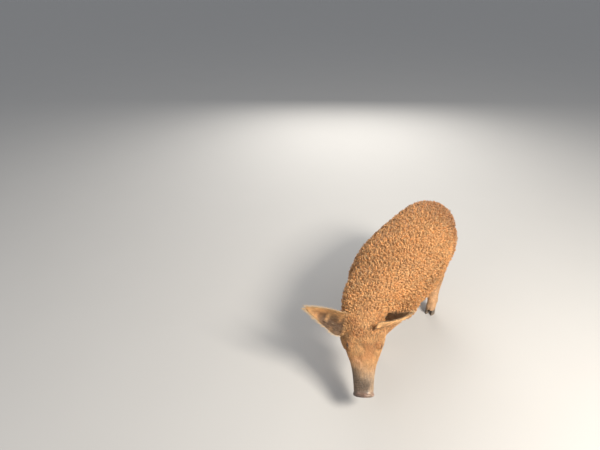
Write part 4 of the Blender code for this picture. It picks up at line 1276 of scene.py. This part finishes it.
# Materials
def addNode(tree, kind, inputs=(), **settings):
    node = tree.nodes.new(kind)
    for key, value in settings.items():
        setattr(node, key, value)
    for key, value in dict(inputs).items():
        if isinstance(value, bpy.types.NodeSocket):
            tree.links.new(value, node.inputs[key])
        else:
            node.inputs[key].default_value = value
    return node


def newMaterial(name):
    made = bpy.data.materials.new(name)
    made.use_nodes = True
    tree = made.node_tree
    place = addNode(tree, "ShaderNodeTexCoord").outputs["Object"]
    return made, tree, tree.nodes["Principled BSDF"], place


def calc(tree, operation, first, *others):  # a chain of Math nodes
    for other in others:
        first = addNode(tree, "ShaderNodeMath", {0: first, 1: other}, operation=operation).outputs[0]
    return first


def attributeOf(tree, name, output="Fac"):
    return addNode(tree, "ShaderNodeAttribute", attribute_name=name).outputs[output]


def noiseOf(tree, vector, scale, detail=2.0, roughness=0.5, distortion=0.0):
    return addNode(tree, "ShaderNodeTexNoise", {"Vector": vector, "Scale": scale, "Detail": detail,
                                                "Roughness": roughness, "Distortion": distortion}).outputs["Fac"]


def spanOf(tree, value, low, high, newLow, newHigh):
    return addNode(tree, "ShaderNodeMapRange", {"Value": value, "From Min": low, "From Max": high,
                                                "To Min": newLow, "To Max": newHigh}).outputs["Result"]


def shaded(tree, color, factor):
    return addNode(tree, "ShaderNodeVectorMath", {0: color, "Scale": factor}, operation="SCALE").outputs[0]


def mixed(tree, share, first, second):
    return addNode(tree, "ShaderNodeMix", {0: share, 6: first, 7: (*second, 1.0)}, data_type="RGBA").outputs[2]


def addBump(tree, shader, height, strength, distance):
    bump = addNode(tree, "ShaderNodeBump", {"Height": height, "Strength": strength, "Distance": distance})
    tree.links.new(bump.outputs["Normal"], shader.inputs["Normal"])


hairLook = {"roughness": 0.62, "sheen": 0.14, "specular": 0.28, "rootShade": 0.57, "tipShade": 1.24,
            "toneSpread": 0.30, "fineContrast": 0.9, "straw": (0.74, 0.55, 0.32), "paleTips": 0.42,
            "bump": (0.55, 0.0006)}


def hairMaterial():
    made, tree, shader, place = newMaterial("curly_hair")
    color = attributeOf(tree, "markings", "Color")
    reach = attributeOf(tree, "reach")
    # each lock has a tone of its own, the coat drifts in patches, and single hairs show as fine lines
    tone = calc(tree, "MULTIPLY", attributeOf(tree, "tone"), hairLook["toneSpread"])
    patches = noiseOf(tree, place, 42.0, 3.0, 0.6)
    drift = calc(tree, "MULTIPLY", calc(tree, "SUBTRACT", patches, 0.5), 0.5)
    lines = addNode(tree, "ShaderNodeCombineXYZ", {
        "X": calc(tree, "MULTIPLY", attributeOf(tree, "across"), 2.6),
        "Y": calc(tree, "MULTIPLY", reach, 1.4),
        "Z": calc(tree, "MULTIPLY", attributeOf(tree, "strand"), 91.0)})
    hairs = noiseOf(tree, lines.outputs[0], 1.6, 2.5, 0.6)
    fine = calc(tree, "MULTIPLY", calc(tree, "SUBTRACT", hairs, 0.5), hairLook["fineContrast"])
    lift = calc(tree, "ADD", tone, 1.0, drift, fine)
    shade = spanOf(tree, reach, 0.0, 1.0, hairLook["rootShade"], hairLook["tipShade"])
    base = shaded(tree, color, calc(tree, "MULTIPLY", shade, lift))
    # tips bleach to straw, but dark hair keeps dark tips
    light = addNode(tree, "ShaderNodeRGBToBW", {"Color": color}).outputs[0]
    light = calc(tree, "MINIMUM", calc(tree, "MULTIPLY", light, 2.4), 1.0)
    pale = calc(tree, "MULTIPLY", calc(tree, "POWER", reach, 2.5), hairLook["paleTips"], light)
    tree.links.new(mixed(tree, pale, base, hairLook["straw"]), shader.inputs["Base Color"])
    addBump(tree, shader, hairs, *hairLook["bump"])
    shader.inputs["Roughness"].default_value = hairLook["roughness"]
    shader.inputs["Sheen Weight"].default_value = hairLook["sheen"]
    shader.inputs["Specular IOR Level"].default_value = hairLook["specular"]
    return made


skinFinish = {"roughness": 0.60, "wet": 0.32, "specular": 0.45, "bump": (0.6, 0.0014),
              "mottle": 55.0, "stains": 210.0, "pores": 420.0, "creases": 180.0, "wool": 130.0, "strokes": 1500.0}


def skinMaterial():
    made, tree, shader, place = newMaterial("pig_skin")
    bareness, woolly = attributeOf(tree, "bare"), attributeOf(tree, "woolly")
    haired = calc(tree, "SUBTRACT", 1.0, bareness)

    def shadeBy(amount, share):  # darker and lighter than 1 where the share is full
        return calc(tree, "ADD", calc(tree, "MULTIPLY", amount, share), 1.0)

    mottle = spanOf(tree, noiseOf(tree, place, skinFinish["mottle"], 5.0, 0.65), 0.3, 0.7, 0.72, 1.22)
    wool = noiseOf(tree, place, skinFinish["wool"], 3.0, 0.55, 2.2)
    ridges = spanOf(tree, wool, 0.36, 0.62, -0.55, 0.30)
    strokes = noiseOf(tree, attributeOf(tree, "strokes", "Vector"), skinFinish["strokes"], 3.0, 0.6)
    streaks = spanOf(tree, strokes, 0.32, 0.66, -0.42, 0.34)
    stains = spanOf(tree, noiseOf(tree, place, skinFinish["stains"], 3.0, 0.7), 0.38, 0.60, -0.38, 0.16)
    factor = calc(tree, "MULTIPLY", mottle, shadeBy(ridges, woolly), shadeBy(streaks, haired),
                  shadeBy(stains, bareness))
    color = shaded(tree, attributeOf(tree, "markings", "Color"), factor)
    tree.links.new(color, shader.inputs["Base Color"])
    gloss = spanOf(tree, bareness, 0.0, 1.0, skinFinish["roughness"], skinFinish["wet"])
    tree.links.new(gloss, shader.inputs["Roughness"])
    pores = addNode(tree, "ShaderNodeTexVoronoi", {"Vector": place, "Scale": skinFinish["pores"]})
    pits = calc(tree, "MULTIPLY", pores.outputs["Distance"], 0.6)
    height = calc(tree, "ADD", pits, noiseOf(tree, place, skinFinish["creases"], 4.0))
    height = calc(tree, "ADD", calc(tree, "MULTIPLY", height, 0.5), calc(tree, "MULTIPLY", wool, woolly, 4.0),
                  calc(tree, "MULTIPLY", strokes, haired))
    addBump(tree, shader, height, *skinFinish["bump"])
    shader.inputs["Specular IOR Level"].default_value = skinFinish["specular"]
    return made


horn = {"light": (0.21, 0.165, 0.125), "dark": (0.085, 0.066, 0.052), "mud": (0.20, 0.15, 0.105),
        "roughness": 0.48, "streaks": (420.0, 420.0, 40.0), "bump": (0.35, 0.0006)}


def hornMaterial():
    made, tree, shader, place = newMaterial("horn_fine")
    streaks = addNode(tree, "ShaderNodeMapping", {"Vector": place, "Scale": horn["streaks"]}).outputs[0]
    ramp = addNode(tree, "ShaderNodeValToRGB", {"Fac": noiseOf(tree, streaks, 1.0, 4.0)})
    dark, light = ramp.color_ramp.elements
    dark.position, dark.color = 0.35, (*horn["dark"], 1.0)
    light.position, light.color = 0.68, (*horn["light"], 1.0)
    level = addNode(tree, "ShaderNodeSeparateXYZ", {"Vector": place}).outputs["Z"]
    smear = noiseOf(tree, place, 160.0, 4.0)
    height = calc(tree, "ADD", level, calc(tree, "MULTIPLY", smear, 0.024))
    dirt = spanOf(tree, height, 0.014, 0.028, 0.85, 0.10)  # mud on the lower part
    tree.links.new(mixed(tree, dirt, ramp.outputs["Color"], horn["mud"]), shader.inputs["Base Color"])
    rings = addNode(tree, "ShaderNodeTexWave", {"Vector": place, "Scale": 95.0, "Distortion": 2.0, "Detail": 2.0},
                    bands_direction="Z")
    relief = calc(tree, "ADD", rings.outputs["Fac"], calc(tree, "MULTIPLY", smear, 1.5))
    addBump(tree, shader, relief, *horn["bump"])
    shader.inputs["Roughness"].default_value = horn["roughness"]
    return made


def makeClaws(material):
    levels = [(0.0, 0.93, 0.0), (0.020, 0.975, 0.0001), (0.06, 1.005, 0.0004)]
    for step in range(12):
        t = step / 11
        levels.append((0.13 + 0.87 * t, 1.02 - 0.18 * t + 0.006 * math.sin(step * 2.4), 0.001 + 0.006 * t))
    small = feet["small"]
    profile = smoothBetween([(-0.5, 0.90), (0.0, 1.0), (0.45, 0.92), (0.8, 0.62), (1.0, 0.28), (1.02, 0.05)], 4)
    for name, part, inner, turn, center, spot in footParts():
        bm = bmesh.new()
        loft(bm, clawRings(spot, turn, inner, levels, 40))
        claw = makeObject(f"hoof_{name}_{part}", bm)
        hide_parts(f"claw_{name}_{part}")
        base = center + turn @ Vector((inner * small["apart"], small["behind"], small["height"]))
        bm = bmesh.new()
        rings = []
        for t, scale in profile:
            middle = base + turn @ Vector((0.0, 0.010 + small["length"] * t * 0.55, -small["length"] * t * 0.75))
            reach = small["width"] / 2 * scale
            rings.append(ringPoints(middle, turn @ Vector((1, 0, 0)), turn @ Vector((0, 0.75, 0.55)),
                                    reach, reach, reach, 24, 1.0))
        loft(bm, rings)
        spur = makeObject(f"small_hoof_{name}_{part}", bm)
        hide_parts(f"dewclaw_{name}_{part}")
        for piece in (claw, spur):
            piece.data.materials.append(material)
            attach(piece, "root")


eyeLook = {"pupil": (0.0034, 0.0026), "iris": 0.0078, "irisInner": (0.105, 0.048, 0.018),
           "irisOuter": (0.030, 0.014, 0.007), "white": (0.42, 0.33, 0.26), "cornea": 0.0006,
           "roughness": 0.06, "specular": 0.6, "bump": (0.03, 0.0002)}


def eyeMaterial():
    made, tree, shader, place = newMaterial("eye_wet")
    tree.links.new(attributeOf(tree, "markings", "Color"), shader.inputs["Base Color"])
    addBump(tree, shader, noiseOf(tree, place, 500.0), *eyeLook["bump"])
    shader.inputs["Roughness"].default_value = eyeLook["roughness"]
    shader.inputs["Specular IOR Level"].default_value = eyeLook["specular"]
    return made


def makeEye(which, material):
    center, across, over, aim = eyeFrame(which)
    turn = Matrix((across, over, aim)).transposed()
    bm = bmesh.new()
    bmesh.ops.create_uvsphere(bm, u_segments=72, v_segments=56, radius=eyes["radius"])
    for vert in bm.verts:
        vert.co = center + turn @ vert.co
    ball = makeObject("eyeball_" + which, bm)
    points, _ = readPoints(ball.data)
    x, y, z = inFrame(points, center, across, over, aim)
    out = np.hypot(x, y)
    front = z > 0
    grow = 1.0 + eyeLook["cornea"] / eyes["radius"] * np.clip(1 - out / eyeLook["iris"], 0, 1) ** 0.5 * front
    middle = np.array(center)
    writePoints(ball.data, middle + (points - middle) * grow[:, None])
    around = np.arctan2(y, x)
    rays = 0.5 + 0.25 * np.sin(around * 23) + 0.15 * np.sin(around * 41 + 1) + 0.10 * np.sin(around * 67 + 2)
    share = smoothStep(0.25, 1.0, out / eyeLook["iris"] + 0.18 * (rays - 0.5))[:, None]
    colors = np.array(eyeLook["irisInner"]) * (1 - share) + np.array(eyeLook["irisOuter"]) * share
    edge = smoothStep(eyeLook["iris"] * 0.97, eyeLook["iris"] * 1.04, out)[:, None]
    colors = colors * (1 - edge) + np.array(eyeLook["white"]) * edge
    wide, high = eyeLook["pupil"]
    pupil = smoothStep(1.06, 0.96, np.hypot(x / wide, y / high))[:, None]
    colors = colors * (1 - pupil) + 0.004 * pupil
    colors[~front] = eyeLook["white"]
    setColors(ball.data, "markings", colors)
    ball.data.materials.append(material)
    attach(ball, "root")
    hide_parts("eye_" + which)


print("eyes and claws")
wetEye = eyeMaterial()
for which in ("left", "right"):
    makeEye(which, wetEye)
makeClaws(hornMaterial())
hair = hairMaterial()
skin.data.materials.append(skinMaterial())
for piece in coatPieces:
    piece.data.materials.append(hair)

# Floor, light and camera
view = {
    "height": 1.600,
    "place": (0.5522, -2.1614),
    "tilt": math.radians(59),
    "turn": math.radians(33),
    "lens": 27.72,
}
studio = {"floor": (0.43, 0.42, 0.405), "world": (0.84, 0.88, 0.95), "worldPower": 0.47}

# Lights: place, power, size and colour
lights = {
    "key": ((2.3, -0.6, 2.5), 190.0, 1.0, (1.0, 0.94, 0.85)),
    "fill": ((-1.2, -2.8, 2.0), 20.0, 2.0, (1.0, 1.0, 1.0)),
    "back": ((-1.6, 2.6, 1.8), 80.0, 2.0, (1.0, 0.97, 0.92)),
}


def makeCamera():
    data = bpy.data.cameras.new("camera")
    data.lens = view["lens"]
    data.sensor_width = 36.0
    camera = bpy.data.objects.new("camera", data)
    camera.location = (view["place"][0] + rowShift.x, body["rearY"] + view["place"][1] + rowShift.y,
                       view["height"])
    camera.rotation_euler = (view["tilt"], 0.0, view["turn"])
    bpy.context.scene.collection.objects.link(camera)
    bpy.context.scene.camera = camera


def areaLight(name, place, power, size, color):
    data = bpy.data.lights.new(name, "AREA")
    data.energy = power
    data.color = color
    data.size = size
    light = bpy.data.objects.new(name, data)
    light.location = place
    light.rotation_euler = (Vector((0, 0, 0.3)) - Vector(place)).to_track_quat("-Z", "Y").to_euler()
    bpy.context.scene.collection.objects.link(light)


def makeStudio():
    bm = bmesh.new()
    bmesh.ops.create_grid(bm, x_segments=2, y_segments=2, size=30.0)
    floor = makeObject("floor", bm)
    made, tree, shader, place = newMaterial("pale_floor")
    tint = addNode(tree, "ShaderNodeValToRGB", {"Fac": noiseOf(tree, place, 3.0, 4.0)})
    tint.color_ramp.elements[0].color = (*[c * 0.97 for c in studio["floor"]], 1.0)
    tint.color_ramp.elements[1].color = (*studio["floor"], 1.0)
    tree.links.new(tint.outputs["Color"], shader.inputs["Base Color"])
    shader.inputs["Roughness"].default_value = 0.8
    floor.data.materials.append(made)
    for name, settings in lights.items():
        areaLight(name, *settings)
    world = bpy.data.worlds.new("studio")
    world.use_nodes = True
    back = world.node_tree.nodes["Background"]
    back.inputs["Color"].default_value = (*studio["world"], 1.0)
    back.inputs["Strength"].default_value = studio["worldPower"]
    bpy.context.scene.world = world
    bpy.context.scene.view_settings.view_transform = "Standard"


makeCamera()
makeStudio()
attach(skin, "root")
flesh = ["torso", "neck", "head", "tail", "ear_left", "ear_right"]
flesh += ["leg_" + name for name in feet["places"]]
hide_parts(*flesh)
for piece in coatPieces:
    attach(piece, "root")
